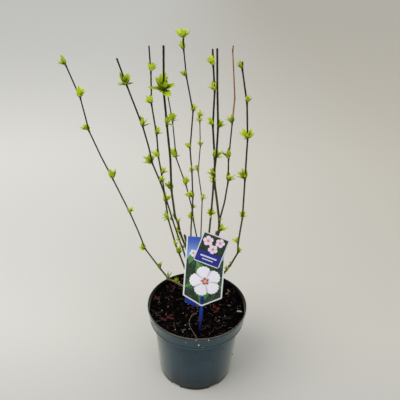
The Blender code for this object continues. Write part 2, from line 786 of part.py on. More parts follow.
def shade_round(piece, angle):
    piece.data.shade_smooth()
    piece.data.set_sharp_from_angle(angle=math.radians(angle))


def main():
    clear_scene()
    parts = new_collection("potted_rose_of_sharon")
    cutters = new_collection("cutters")
    pot_plastic = make_material("pot_plastic", (0.045, 0.062, 0.070), 0.45)
    compost = make_material("compost", (0.028, 0.018, 0.013), 0.95)
    old_bark = make_material("old_bark", (0.13, 0.095, 0.055), 0.85)
    cane_green = make_material("cane_and_leaf", (0.30, 0.42, 0.04), 0.55)
    card_face = make_material("card_face", (0.75, 0.76, 0.78), 0.35)
    stake_blue = make_material("stake_blue", (0.015, 0.06, 0.36), 0.35)

    make_pot(parts, pot_plastic)
    make_soil(parts, compost, make_stake_slot(cutters))
    make_card(parts, card_face)
    make_small_card(parts, card_face)
    make_stake(parts, stake_blue)
    trunk = add_limb("trunk", TRUNK, LIMB_SIDES, parts, old_bark)
    shade_round(trunk, 50)
    limbs = {"trunk": TRUNK, **BOUGHS}
    for name, spine in BOUGHS.items():
        shade_round(make_bough(name, spine, parts, old_bark), 50)

    lines = {name: [np.array([point for point, _ in spine])] for name, spine in limbs.items()}
    for name, (_, stems) in CANES.items():
        lines[name] = [np.array([point for point, _ in stem_spine(stem)]) for stem in stems]
    for number, (name, (carrier, stems)) in enumerate(CANES.items()):
        make_cane(name, number, limbs[carrier], stems, lines, parts, cane_green)


main()
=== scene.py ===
import math
import random

import bmesh
import bpy
import numpy as np
from mathutils import Color, Euler, Matrix, Vector, geometry, noise


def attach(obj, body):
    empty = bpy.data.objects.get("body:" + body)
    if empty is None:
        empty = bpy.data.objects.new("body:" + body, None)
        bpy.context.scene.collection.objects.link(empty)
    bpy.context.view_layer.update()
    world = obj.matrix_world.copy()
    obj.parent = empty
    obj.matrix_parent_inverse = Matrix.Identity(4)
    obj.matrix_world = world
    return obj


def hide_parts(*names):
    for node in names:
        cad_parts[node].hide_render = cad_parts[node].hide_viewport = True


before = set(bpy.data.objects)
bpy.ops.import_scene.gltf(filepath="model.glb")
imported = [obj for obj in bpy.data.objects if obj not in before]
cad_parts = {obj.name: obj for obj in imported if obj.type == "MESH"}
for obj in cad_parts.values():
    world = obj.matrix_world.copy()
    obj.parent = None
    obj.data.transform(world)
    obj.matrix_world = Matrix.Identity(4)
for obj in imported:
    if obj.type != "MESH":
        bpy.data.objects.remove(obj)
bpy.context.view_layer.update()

# Camera: place, tilt below the horizon, roll, focal length and sensor in millimetres, and the nearest
# distance it sees
CAMERA_PLACE = (-0.0005, -0.683, 0.758)
CAMERA_DOWN = math.radians(28.72)
CAMERA_ROLL = math.radians(1.75)
CAMERA_LENS = 41.4
CAMERA_SENSOR = 36
CAMERA_NEAREST = 0.01

# Gap between neighbouring pieces, and the distance at which loose vertices are welded
CLEARANCE = 0.0003
WELD = 0.000001

# Steps of a rounded corner in a profile
ARC_STEPS = 4

# A direction that no limb runs in, for a tube's first station
TUBE_SIDE = (0.3, 1, 0.1)

# A pruning cut from its rim to its pith, as (share of the limb's radius, height above the rim)
CUT_PROFILE = ((0.96, 0), (0.82, 0.00005), (0.3, 0.0001), (0, 0.00005))

# Nursery pot
POT_HEIGHT = 0.158
RIM_RADIUS = 0.095
LIP_HEIGHT = 0.005
LIP_STEP = 0.0008
COLLAR_FOOT_RADIUS = 0.0912
COLLAR_FOOT_HEIGHT = 0.129
COLLAR_BEAD = 0.0005
BEAD_HEIGHTS = (0.0024, 0.0034)
BEAD_EASE = 0.8
SHOULDER_RADIUS = 0.0828
SHOULDER_DROP = 0.0026
BASE_RADIUS = 0.0736
BASE_CHAMFER = 0.0015
BASE_HOLLOW = 0.0008
BASE_HOLLOW_RADIUS = 0.050
BASE_HOLLOW_SLOPE = 0.0015
WALL = 0.0014
POT_STEPS = 240

# Drainage recesses moulded up into the pot's bottom edge
RECESS_COUNT = 6
RECESS_WIDTH = 0.0210
RECESS_HEIGHT = 0.0048
RECESS_NARROWING = 0.86
RECESS_INNER_RADIUS = 0.058
RECESS_ROUNDING = 0.0009
RECESS_ROUND_STEPS = 3
DRAIN_RADIUS = 0.0035
DRAIN_SIDES = 32

# The pot's satin skin, which reads paler where it is seen aslant, and heights between which its tones set in
POT_SHEEN = 0.60
POT_SHEEN_ROUGHNESS = 0.36
POT_SHEEN_TINT = (250, 255, 236)
# Painted shade: the pot darker towards the bottom
POT_LOW_SHADE_HEIGHTS = (0.070, 0.0)
# Painted contact shadow at the foot, where the foot is also rougher
POT_FOOT_SHADOW_AND_DULL_HEIGHTS = (0.0120, 0.0035)
# Painted light: the collar and rim a little paler, as sheen
POT_COLLAR_SHEEN_HEIGHTS = (COLLAR_FOOT_HEIGHT - 0.002, COLLAR_FOOT_HEIGHT + 0.006)
# A painted highlight along the ledge at the collar's foot
LEDGE_HIGHLIGHT_FROM_BELOW = (COLLAR_FOOT_HEIGHT - 0.0020, COLLAR_FOOT_HEIGHT - 0.0008)
LEDGE_HIGHLIGHT_FROM_ABOVE = (COLLAR_FOOT_HEIGHT + 0.0016, COLLAR_FOOT_HEIGHT + 0.0006)
RIM_DUST_HEIGHTS = (POT_HEIGHT - 0.0010, POT_HEIGHT - 0.0002)

# Compost
SOIL_LEVEL = 0.147
SOIL_RELIEF = 0.0016
SOIL_FOOT = RECESS_HEIGHT + WALL + CLEARANCE
SOIL_STEPS = 300
SOIL_RINGS = 84
SOIL_SWELL = 0.0024
SOIL_SWELL_SIZE = 0.022
SOIL_CRUMB = 0.0019
SOIL_CRUMB_SIZE = 0.0055
SOIL_GRIT = 0.0007
SOIL_GRIT_SIZE = 0.0021
SOIL_MOUND = 0.0022
SOIL_MOUND_RADIUS = 0.026
SOIL_SINK = 0.0016
SOIL_SINK_WIDTH = 0.007
SOIL_HEAP = 0.0080
SOIL_HEAP_WIDTH = 0.012
SOIL_HEAP_FROM = -0.015
SOIL_HEAP_RUN = 0.055
BED_EDGE = 0.0015
TRUNK_REACH = 0.8

# Loose bits on the compost. Their seat is how far their middle is above it, as a share of their size.
LITTER_SEED = 7
CRUMB_COUNT = 3600
CRUMB_SHAPES = 6
CRUMB_SIZES = (0.0004, 0.0014)
CRUMB_SHRINKING = (0.6, 1.0)
CRUMB_UNEVEN = (0.65, 1.15)
CRUMB_FLATNESS = 0.75
CRUMB_SEAT = 0.35
BROWN_CRUMB_SHARE = 0.11
CHIP_COUNT = 420
CHIP_SHAPES = 8
CHIP_LENGTHS = (0.0025, 0.0100)
CHIP_SHRINKING = (0.45, 1.0)
CHIP_WIDTHS = (0.25, 0.6)
CHIP_DEPTHS = (0.10, 0.22)
CHIP_TAPER = 0.75
CHIP_UNEVEN = 0.16
CHIP_BEVEL = 0.08
CHIP_TIP = 0.4
CHIP_DRIFT_SIZE = 0.028
CHIP_KINDS = ("dark", "brown", "red", "tan", "grey")
CHIP_SHARES = (82, 12, 4, 0, 2)
DRIFT_SHARES = (30, 30, 36, 2, 2)
FIBRE_COUNT = 44
FIBRE_LENGTHS = (0.006, 0.018)
FIBRE_RADIUS = 0.00013
FIBRE_BOW = 0.4
FIBRE_LIFTS = (0.0006, 0.0018)
FIBRE_SHARES = (-0.5, -0.25, 0, 0.25, 0.5)
FIBRE_EDGE = 0.001
STRAND_SPACING = 0.0015
GRIT_COUNT = 26
GRIT_SIZES = (0.0005, 0.0012)

# The larger chips that stand out, as (x, y, length, width, heading in degrees, kind), and how deep they are,
# how far they are lifted and how far they tip
LARGE_CHIP_DEPTH = 0.0016
LARGE_CHIP_LIFT = 0.0014
LARGE_CHIP_TIPS = (0.25, 0.2)
LARGE_CHIPS = (
    (0.0630, 0.0470, 0.0085, 0.0035, 115, "tan"),
    (0.0600, 0.0400, 0.0070, 0.0028, 25, "tan"),
    (0.0405, -0.0040, 0.0085, 0.0060, 60, "rust"),
    (0.0320, 0.0020, 0.0100, 0.0040, 105, "rust"),
    (0.0360, -0.0130, 0.0070, 0.0040, 20, "rust"),
    (0.0450, 0.0060, 0.0060, 0.0030, 140, "rust"),
    (0.0815, -0.0115, 0.0090, 0.0035, 170, "pale"),
    (-0.0790, 0.0190, 0.0120, 0.0065, 20, "red"),
    (-0.0500, -0.0330, 0.0140, 0.0060, 165, "red"),
    (-0.0700, -0.0190, 0.0110, 0.0055, 40, "brown"),
    (-0.0620, -0.0370, 0.0120, 0.0050, 150, "red"),
    (-0.0340, 0.0190, 0.0130, 0.0060, 10, "brown"),
    (0.0580, -0.0300, 0.0120, 0.0060, 15, "brown"),
    (0.0200, -0.0520, 0.0110, 0.0050, 160, "brown"),
    (-0.0220, -0.0640, 0.0070, 0.0030, 30, "grey"),
    (-0.0560, -0.0020, 0.0050, 0.0030, 80, "grey"),
    (0.0460, 0.0620, 0.0110, 0.0050, 140, "brown"),
    (-0.0300, 0.0620, 0.0130, 0.0060, 35, "red"),
    (0.0050, 0.0740, 0.0110, 0.0060, 100, "brown"),
)

# A dry root that lies across the compost and over the rim, as (x, y, height above what it lies on)
DRY_ROOT = (
    (0.0000, -0.0190, 0.0010),
    (-0.0080, -0.0260, 0.0030),
    (-0.0138, -0.0420, 0.0022),
    (-0.0130, -0.0540, 0.0014),
    (-0.0078, -0.0650, 0.0018),
    (-0.0020, -0.0760, 0.0030),
    (0.0010, -0.0860, 0.0090),
    (0.0018, -0.0945, 0.0118),
    (0.0020, -0.0957, 0.0086),
)
DRY_ROOT_RADII = (0.00028, 0.00018)

# Specks of white grit and crumbs of compost that cling to the pot, as (angle in degrees, height, size)
SPECK_SEAT = 0.3
SPECK_STRETCH = (2.6, 2.6, 2)
WHITE_SPECKS = (
    (273.2, 0.1425, 0.0010),
    (283.5, 0.1545, 0.0008),
    (258.8, 0.1460, 0.0005),
    (270.0, 0.1560, 0.0005),
    (295.0, 0.1520, 0.0004),
    (277.5, 0.1350, 0.0004),
)
CLINGING_STRAND = ((202.0, 0.1375), (206.0, 0.1385), (210.5, 0.1415), (213.0, 0.1450))
CLINGING_STRAND_RADIUS = 0.0003
CLINGING_CRUMBS = (
    (289.2, 0.0935, 0.0011),
    (267.8, 0.0960, 0.0006),
    (254.0, 0.1555, 0.0007),
    (301.0, 0.1550, 0.0006),
    (353.0, 0.0320, 0.0018),
    (86.0, 0.1100, 0.0009),
    (142.0, 0.0700, 0.0007),
    (30.0, 0.1480, 0.0008),
)

# Bark and limbs: grooves and swellings with the size of their noise round a limb and along it, and the roots'
# lobes as (share of the radius, count, turn)
LIMB_ROUND = 28
LIMB_SPACING = 0.0013
LIMB_EASING = 8
BARK_GROOVE = 0.13
GROOVE_SIZE = (1.6, 0.011)
GROOVE_FINENESS = (1.5, 3.1)
FINE_GROOVE = 0.6
BARK_SWELL = 0.09
SWELL_SIZE = (0.7, 0.006)
ROOT_LOBES = ((0.16, 3, 0.8), (0.09, 5, 2.0))
FLARE_LENGTH = 0.005
COLLAR_FLARE = 0.35
TRUNK_BURIED = 0.004
TRUNK_FOOT_SHARE = 0.8
LIMB_CUT_SLANT = 0.15

# Finishes of a stem's stations
LIVE, DEAD, CUT = 0, 1, 2

# Canes: stations along a stem, spurs at its knuckles, bud scales and stipules
CANE_ROUND = 10
STEM_SPACING = 0.0024
CANE_EASING = 2
CANE_UNEVEN = 0.14
CANE_UNEVEN_LENGTH = 0.004
CANE_BARK = 1.10
BARK_DEPTH = 0.00018
DEAD_SWELL = 1.15
CANE_FOOT_BARK = 0.50
CANE_FOOT_HEIGHTS = (0.25, 0.19)
CANE_CUT_SLANT = 0.3
DEAD_AFTER = 0.012
SPUR_LENGTH = 0.0018
SPUR_LEAF = 0.016
BARE_SPUR = 0.5
SPUR_RADIUS = 0.00135
SPUR_RINGS = 5
SPUR_SUNK = 0.0004
SPUR_FOOT = 1.25
SPUR_SWELLS = (0.9, 1.12)
SPUR_TAPER = 0.25
SPUR_REACH = 1.08
SPUR_TIP = (0.45, 0.2)
SPUR_ROOTING = 0.45
SCALE_LENGTH = 0.0020
SCALE_SIZES = (0.7, 1.2)
SCALE_SEAT = 0.3
SCALE_WIDTH = 0.34
SCALE_TAPER = 0.7
SCALE_CUP = 0.5
SCALE_LIFT = 0.12
SCALE_CURL = 0.25
THREAD_RADIUS = 0.00013
THREAD_SHARE = 0.5
THREAD_LENGTHS = (0.3, 0.55)
THREAD_STEPS = 3
THREAD_BOWS = (0.1, 0.5)
THREAD_STRAY = 0.25
THREAD_TAPER = 0.75

# Leaves: outline as (share of the length, half width, forward reach of the edge), and how they vary
LEAF_OUTLINE = (
    (0.00, 0.022, 0.00),
    (0.08, 0.040, 0.00),
    (0.17, 0.120, -0.01),
    (0.30, 0.190, 0.02),
    (0.43, 0.170, 0.02),
    (0.56, 0.180, 0.05),
    (0.67, 0.125, 0.03),
    (0.78, 0.110, 0.05),
    (0.89, 0.050, 0.02),
    (1.00, 0.004, 0.00),
)
LEAF_CURLS = (-0.12, 0.22)
LEAF_FOLDS = (5, 30)
LEAF_TWIST = 35
LEAF_WIDTHS = (0.95, 1.25)
LEAF_RIPPLE = 0.14
LEAF_RIPPLE_WAVES = 17
LEAF_COLUMNS = 4
LEAF_SHORTENING = 0.35
FINER_COUNTS = (1, 2, 2, 2)
FINER_LENGTHS = (0.60, 1.02)
FINER_LEANS = (-0.45, 0.80)
FINER_SWING = 0.8
OPEN_FINER_COUNT = 3
OPEN_FINER_LEANS = (0.05, 0.72)
GREEN_SHARES = (50, 36, 14)

# Print on the label's cards: leaves as (foot x, foot y, heading in degrees, length, green)
PRINTED_LEAVES = (
    (-0.0040, 0.0980, 205, 0.034, (34, 88, 42)),
    (0.0040, 0.0900, 258, 0.036, (46, 118, 50)),
    (0.0100, 0.1000, -28, 0.032, (28, 80, 44)),
    (0.0020, 0.1020, 118, 0.036, (62, 128, 58)),
    (-0.0220, 0.1450, 250, 0.018, (70, 124, 48)),
)
SKY_HEIGHTS = (0.178, 0.140)
SKY_EDGE = (0.150, 0.156)
CARD_BORDER = 0.0026
SMALL_CARD_BORDER = 0.0020
BORDER_BLUR = 0.0002
BAND_SHARES = (0.60, 0.61)
# Small blossoms as (middle, radius, turn), and bars as (height, half length, half width)
SMALL_BLOSSOMS = (
    ((0.0130, -0.0140), 0.0095, 0.3),
    ((0.0340, -0.0110), 0.0085, 1.1),
    ((0.0260, -0.0260), 0.0090, 2.0),
)
SMALL_CARD_BARS = ((-0.0420, 0.0150, 0.0014), (-0.0475, 0.0100, 0.0010))

# Stage and light: the floor's tones, and the stretches over which they change to the right, from the front to
# the middle and from there to the far part
FLOOR_RADIUS = 14.0
FLOOR_SIDES = 96
# The floor's tones paint light and shade: darker in front and to the right, brighter in the middle and far
# part
FLOOR_FRONT = (206, 205, 200)
FLOOR_MIDDLE = (226, 225, 220)
FLOOR_FAR = (242, 241, 235)
FLOOR_FAR_RIGHT = (222, 217, 204)
FLOOR_NEAR_RIGHT = (216, 212, 200)
FLOOR_TO_RIGHT = (-0.9, 1.1)
FLOOR_TO_MIDDLE = (-0.20, 0.12)
FLOOR_TO_FAR = (0.3, 1.2)
LIGHT_TARGET = (0.0, 0.0, 0.30)
# Lamps as (name, place, size, power, colour)
LIGHTS = (
    ("key", (-1.30, -0.55, 1.90), 2.2, 24.0, (1.0, 0.985, 0.96)),
    ("fill", (1.20, -1.40, 1.10), 1.4, 5.0, (0.97, 0.98, 1.0)),
)
WORLD_COLOUR = (0.985, 0.99, 1.0)
WORLD_STRENGTH = 0.60

# Plant label: a printed card and a smaller one on a flat stake, leaning back towards the canes
STAKE_AT_SOIL = (0.006, -0.065, SOIL_LEVEL)
LABEL_LEAN = math.radians(17)
LABEL_YAW = math.radians(-3)
LABEL_TILT = math.radians(1.5)
CARD_WIDTH = 0.070
CARD_POINT_HEIGHT = 0.0495
CARD_POINT_DROP = 0.0185
CARD_THICKNESS = 0.0008
SMALL_CARD_WIDTH = 0.048
SMALL_CARD_LENGTH = 0.056
SMALL_CARD_CORNER = (-0.0055, 0.190)
SMALL_CARD_TURN = math.radians(16.5)
SMALL_CARD_THICKNESS = 0.0006
STAKE_WIDTH = 0.0064
# Heights over which painted shade darkens the stake towards its foot, and where compost soils it
STAKE_SHADE_HEIGHTS = (0.188, 0.154)
STAKE_SOILED_HEIGHTS = (0.156, 0.146)
LEG_NARROW_FROM = 0.040
LEG_NARROWING = 0.42
LEG_STEPS = 4
CARD_EDGES = 0.0002
SMALL_CARD_EDGES = 0.00015
STAKE_EDGES = 0.00025
SOLID_WELD = 0.00001
FLAT_ANGLE = math.radians(1)
SHARP_ANGLE = math.radians(50)

# Tones, as display values from 0 to 255. Sets of three are two patchy tones and a fleck.
POT_TONES = ((18, 48, 62), (23, 54, 69), (40, 72, 80))
# Painted shade low on the pot
POT_LOW_SHADE_TONE = (1, 17, 31)
# Painted contact shadow at the pot's foot
POT_FOOT_SHADOW_TONE = (1, 2, 3)
# Painted light on the collar
POT_COLLAR_SHEEN_TONE = (88, 100, 92)
# Painted highlight along the collar's ledge
POT_LEDGE_HIGHLIGHT_TONE = (110, 122, 122)
POT_SCUFF_TONE = (120, 126, 122)
POT_DUST_TONE = (140, 134, 118)
POT_RIM_TONE = (132, 118, 98)
# Painted shade on the inside of the pot's wall above the compost
POT_INSIDE_SHADE_TONE = (8, 8, 7)
PEAT_TONES = ((2, 2, 2), (6, 4, 4), (22, 14, 10))
DARK_CRUMB_TONES = ((2, 2, 2), (7, 5, 4), (20, 13, 10))
BROWN_CRUMB_TONES = ((20, 12, 9), (36, 22, 15), (70, 46, 32))
CHIP_TONES = {
    "dark": ((7, 5, 5), (14, 9, 8), (32, 20, 15)),
    "brown": ((22, 13, 10), (38, 22, 16), (72, 46, 34)),
    "red": ((42, 17, 15), (70, 30, 25), (112, 62, 50)),
    "rust": ((66, 20, 10), (96, 36, 22), (136, 80, 64)),
    "tan": ((104, 80, 58), (128, 104, 80), (164, 142, 116)),
    "grey": ((66, 60, 54), (88, 80, 72), (122, 112, 102)),
    "pale": ((190, 182, 164), (206, 200, 184), (224, 220, 208)),
}
FIBRE_TONES = ((150, 134, 108), (184, 168, 142), (212, 200, 176))
OLD_BARK_TONES = ((112, 96, 76), (84, 72, 56), (146, 132, 110))
OLD_BARK_GROOVE = (42, 34, 26)
OLD_BARK_PORE = (168, 152, 126)
OLD_BARK_BLOOM = (92, 98, 66)
CUT_WOOD_TONES = ((120, 106, 80), (88, 76, 56), (54, 46, 34))
BUD_TONES = ((24, 21, 12), (42, 36, 20), (84, 76, 44))
STIPULE_TONES = ((116, 128, 60), (146, 152, 84), (176, 178, 110))
LEAF_TONES = {
    "leaf_lime": ((206, 230, 24), (230, 244, 60), (240, 246, 130)),
    "leaf_spring": ((180, 208, 16), (208, 226, 40), (226, 234, 108)),
    "leaf_deep": ((146, 176, 12), (178, 200, 28), (208, 218, 88)),
}
# Painted shade at a leaf's foot and a painted highlight at its tip
LEAF_FOOT_SHADE = (44, 68, 2)
LEAF_TIP_HIGHLIGHT = (244, 255, 66)
STAKE_TONES = ((1, 36, 130), (3, 50, 150), (40, 92, 184))
# Painted shade on the stake's leg
STAKE_LOW_SHADE_TONE = (3, 6, 66)
STAKE_DUST_TONE = (150, 146, 136)
STAKE_SOIL_TONE = (34, 25, 18)
HEDGE_TONES = ((12, 44, 28), (40, 92, 46))
SMALL_HEDGE_TONES = ((8, 22, 16), (30, 66, 36))
HEDGE_GAP_TONE = (12, 28, 18)
HEDGE_SHADE_TONE = (18, 40, 26)
SKY_TONES = ((24, 74, 186), (132, 170, 216))
LEAF_RIB_TONE = (120, 168, 96)
EYE_TONE = (170, 40, 84)
CREAM_TONES = ((238, 222, 150), (205, 170, 84))
CARD_BORDER_TONE = (226, 228, 230)
CARD_BACK_TONE = (222, 224, 222)
SMALL_BAND_TONE = (22, 30, 138)
SMALL_BAR_TONE = (206, 214, 236)
SMALL_BORDER_TONE = (214, 216, 220)
SMALL_BACK_TONE = (216, 218, 216)
LABEL_DUST_TONE = (150, 140, 120)

# The large card's bud and blossom as (middle, radius, turn, (petal, crease)), and the small card's petals
PRINTED_BLOSSOMS = (
    ((-0.0215, 0.1480), 0.0070, 0.5, ((236, 232, 244), (186, 176, 204))),
    ((0.0030, 0.0975), 0.0290, 0.25, ((246, 243, 250), (196, 188, 212))),
)
SMALL_PETALS = ((238, 222, 236), (208, 150, 186))

# Bark of a cane as (tone low down, tone high up, patches), the heights between which the first two change,
# and the pale bark near the compost with the heights where it sets in
CANE_BARK_TONES = ((88, 86, 44), (26, 30, 16), (52, 56, 32))
DEAD_BARK_TONES = ((148, 102, 60), (164, 114, 68), (110, 75, 46))
CANE_TONE_HEIGHTS = (0.28, 0.54)
CANE_FOOT_TONE = (172, 162, 122)
CANE_FOOT_TONE_HEIGHTS = (0.236, 0.192)
CANE_GROOVE_TONE = (24, 22, 14)
CANE_PORE_TONE = (150, 144, 108)

# Woody limbs: points on the middle line with the limb's radius there, from the foot to the cut end
TRUNK = (
    ((0.002, 0.008, SOIL_LEVEL + CLEARANCE), 0.0125),
    ((0.002, 0.008, 0.1495), 0.0098),
    ((0.0023, 0.0083, 0.155), 0.0078),
    ((0.003, 0.009, 0.164), 0.0074),
    ((0.0045, 0.0105, 0.172), 0.0090),
    ((0.0055, 0.0115, 0.179), 0.0092),
    ((0.0060, 0.0120, 0.184), 0.0066),
)
BOUGHS = {
    "bough_left": (
        ((0.000, 0.012, 0.176), 0.0040),
        ((-0.0055, 0.0155, 0.200), 0.0035),
        ((-0.0110, 0.0185, 0.228), 0.0032),
        ((-0.0150, 0.0200, 0.250), 0.0033),
        ((-0.0195, 0.0200, 0.270), 0.0025),
        ((-0.0265, 0.0180, 0.3005), 0.0021),
    ),
    "bough_middle": (
        ((0.006, 0.018, 0.176), 0.0038),
        ((0.0060, 0.0240, 0.195), 0.0032),
        ((0.0068, 0.0290, 0.212), 0.0032),
        ((0.0085, 0.0320, 0.229), 0.0026),
    ),
    "bough_right": (
        ((0.012, 0.009, 0.176), 0.0040),
        ((0.0185, 0.0115, 0.205), 0.0036),
        ((0.0265, 0.0155, 0.250), 0.0032),
        ((0.0318, 0.0180, 0.288), 0.0031),
        ((0.0309, 0.0160, 0.3110), 0.0019),
    ),
}
LIMBS = {"trunk": TRUNK, **BOUGHS}

# Sides that a leaf tuft leans to, as angles from +X; ALL is a tuft open all round
RIGHT, LEFT, FRONT, ALL = 0, 180, 270, None

# Canes, each a mass of foliage, by their stems. A stem has the course that its middle line follows, its
# radius at the foot and at the tip, and its leaf tufts, each as the distance along the stem, the side that it
# leans to and the length of its longest leaf. A length of 0 is a bare bud.
CANES = {
    "cane_far_left": (
        {
            "course": (
                (-0.002, 0.008, 0.17), (-0.039, 0.0065, 0.199), (-0.0555, 0.004, 0.2095),
                (-0.071, 0.001, 0.2355), (-0.09, -0.001, 0.268), (-0.11, -0.0075, 0.332),
                (-0.1695, -0.0145, 0.494), (-0.1795, -0.022, 0.552), (-0.194, -0.03, 0.612),
            ),
            "radii": (0.00115, 0.0007),
            "tufts": (
                (0.046, RIGHT, 0.013), (0.067, RIGHT, 0.018), (0.097, RIGHT, 0.015), (0.1495, LEFT, 0.015),
                (0.231, RIGHT, 0.015), (0.300, RIGHT, 0.020), (0.3885, LEFT, 0.017), (0.443, RIGHT, 0.020),
                (0.4935, LEFT, 0.015),
            ),
        },
    ),
    "cane_left_front": (
        {
            "course": (
                (-0.001, 0.006, 0.178), (-0.027, 0.0005, 0.272), (-0.049, -0.014, 0.3655),
                (-0.074, -0.036, 0.4635), (-0.08, -0.065, 0.5165), (-0.11, -0.095, 0.634),
            ),
            "radii": (0.00125, 0.0008),
            "tufts": (
                (0.110, RIGHT, 0.010), (0.131, FRONT, 0.014), (0.178, LEFT, 0.009), (0.259, RIGHT, 0.015),
                (0.301, LEFT, 0.019), (0.381, RIGHT, 0.017), (0.446, ALL, 0.020),
            ),
        },
    ),
    "cane_left_back": (
        {
            "course": (
                (-0.004, 0.009, 0.176), (-0.0365, 0.0185, 0.257), (-0.062, 0.03, 0.3585),
                (-0.0725, 0.04, 0.4425), (-0.0835, 0.052, 0.531), (-0.088, 0.065, 0.621),
            ),
            "radii": (0.0013, 0.0009),
            "tufts": (
                (0.088, RIGHT, 0.021), (0.107, FRONT, 0.017), (0.162, LEFT, 0.018), (0.194, RIGHT, 0.019),
                (0.247, RIGHT, 0.017), (0.278, LEFT, 0.019), (0.317, RIGHT, 0.016), (0.368, LEFT, 0.019),
                (0.419, RIGHT, 0.020),
            ),
        },
    ),
    "cane_left_thick": (
        {
            "course": (
                (-0.0148, 0.0195, 0.246), (-0.044, 0.0115, 0.3505), (-0.05, -0.003, 0.457),
                (-0.0575, -0.0195, 0.5515), (-0.056, -0.04, 0.641),
            ),
            "radii": (0.0017, 0.0012),
            "tufts": (
                (0.063, LEFT, 0.017), (0.085, RIGHT, 0.013), (0.099, LEFT, 0.009), (0.157, LEFT, 0.018),
                (0.280, RIGHT, 0.018), (0.336, ALL, 0.028),
            ),
        },
    ),
    "cane_tallest": (
        {
            "course": (
                (-0.015, 0.0205, 0.254), (-0.015, 0.0225, 0.319), (-0.012, 0.0245, 0.374),
                (-0.0185, 0.0275, 0.462), (-0.017, 0.0305, 0.527), (-0.026, 0.033, 0.581),
                (-0.033, 0.035, 0.642),
            ),
            "radii": (0.00115, 0.00075),
            "tufts": (
                (0.120, LEFT, 0.017), (0.170, ALL, 0.013), (0.211, LEFT, 0.014), (0.274, RIGHT, 0.015),
                (0.329, LEFT, 0.015), (0.369, LEFT, 0.016), (0.386, ALL, 0.021),
            ),
        },
    ),
    "cane_back_left": (
        {
            "course": (
                (0.006, 0.029, 0.208), (-0.0015, 0.0455, 0.264), (-0.0225, 0.0625, 0.361),
                (-0.043, 0.082, 0.4145), (-0.051, 0.103, 0.4605), (-0.065, 0.125, 0.528),
            ),
            "radii": (0.0011, 0.0007),
            "tufts": (
                (0.107, LEFT, 0.018), (0.129, RIGHT, 0.013), (0.176, RIGHT, 0.019), (0.229, LEFT, 0.023),
                (0.294, RIGHT, 0.021), (0.340, RIGHT, 0.014),
            ),
        },
    ),
    "cane_back_thin": (
        {
            "course": (
                (0.008, 0.031, 0.214), (0.0035, 0.051, 0.269), (0.0025, 0.08, 0.3395),
                (-0.0045, 0.1035, 0.389), (-0.003, 0.124, 0.4315), (-0.006, 0.15, 0.483),
            ),
            "radii": (0.0009, 0.0006),
            "tufts": (
                (0.135, RIGHT, 0.015), (0.190, LEFT, 0.015), (0.237, FRONT, 0.012), (0.282, ALL, 0.014),
                (0.292, ALL, 0.015),
            ),
        },
    ),
    "cane_forked": (
        {
            "course": (
                (0.0318, 0.018, 0.287), (0.0345, 0.0222, 0.3265), (0.0248, 0.0295, 0.403),
                (0.018, 0.0405, 0.5005), (0.019, 0.047, 0.5555), (0.012, 0.055, 0.621),
            ),
            "radii": (0.0018, 0.0011),
            "tufts": (
                (0.021, RIGHT, 0.020), (0.041, RIGHT, 0.011), (0.117, LEFT, 0.019), (0.160, RIGHT, 0.021),
                (0.217, LEFT, 0.018), (0.273, LEFT, 0.018), (0.312, LEFT, 0.019),
            ),
        },
        {
            "course": (
                (0.0345, 0.0222, 0.3265), (0.0448, 0.037, 0.372), (0.049, 0.0555, 0.4745),
                (0.0525, 0.075, 0.5175), (0.046, 0.095, 0.62),
            ),
            "radii": (0.0013, 0.0006),
            "tufts": (
                (0.076, RIGHT, 0.020), (0.117, LEFT, 0.020), (0.178, LEFT, 0.018), (0.221, RIGHT, 0),
                (0.297, LEFT, 0),
            ),
        },
    ),
    "cane_middle_front": (
        {
            "course": (
                (0.008, 0.005, 0.176), (0.016, -0.0005, 0.2915), (0.021, -0.013, 0.42),
                (0.0225, -0.034, 0.502), (0.016, -0.06, 0.643),
            ),
            "radii": (0.0015, 0.0011),
            "tufts": (
                (0.183, ALL, 0.015), (0.264, LEFT, 0.017), (0.355, RIGHT, 0.015),
            ),
        },
    ),
    "cane_far_right": (
        {
            "course": (
                (0.0065, 0.004, 0.163), (0.0645, 0.0025, 0.256), (0.07, -0.0065, 0.302),
                (0.072, -0.0165, 0.364), (0.07, -0.0275, 0.4735), (0.065, -0.0385, 0.539),
                (0.051, -0.05, 0.625),
            ),
            "radii": (0.0014, 0.0009),
            "tufts": (
                (0.085, LEFT, 0.015), (0.100, LEFT, 0.010), (0.133, RIGHT, 0.012), (0.158, LEFT, 0.015),
                (0.218, ALL, 0.013), (0.292, LEFT, 0.020), (0.365, ALL, 0.020), (0.424, RIGHT, 0.015),
                (0.474, LEFT, 0.015),
            ),
        },
    ),
}
CURVE_STEPS = 24
LONGEST_STRAIGHT = 0.075
COLLAR_LENGTH = 0.006
COLLAR_SWELL = 1.4
KNUCKLE_LENGTH = 0.0025
KNUCKLE_SWELL = 1.45
KINK = 0.0011

# Leaves: how a tuft's leaves open out, and a leaf's shape as shares of its length
SEED = 41
LEAF_PER_LENGTH = 0.0040
FEWEST_LEAVES = 3
TUFT_FAN = math.radians(40)
TUFT_SCATTER = math.radians(14)
SIDE_SCATTER = math.radians(32)
OPENING = math.radians(16)
OPENING_STEP = math.radians(14)
OPENING_SCATTER = math.radians(8)
SHORTEST_LEAF = 0.78
LEAF_WIDTH = 0.50
LEAF_WAIST = 0.44
LEAF_CURL = 0.10
LEAF_SPACE = 0.0012
LABEL_SPACE = 0.003


def inner_wall():
    """The pot's inside as (radius, height) points, from the floor's edge up to the rim."""
    shoulder = COLLAR_FOOT_HEIGHT - SHOULDER_DROP
    return [
        (BASE_RADIUS - WALL, WALL),
        (SHOULDER_RADIUS - WALL, shoulder + WALL),
        (COLLAR_FOOT_RADIUS - WALL, COLLAR_FOOT_HEIGHT + WALL),
        (RIM_RADIUS - LIP_STEP - WALL, POT_HEIGHT),
    ]


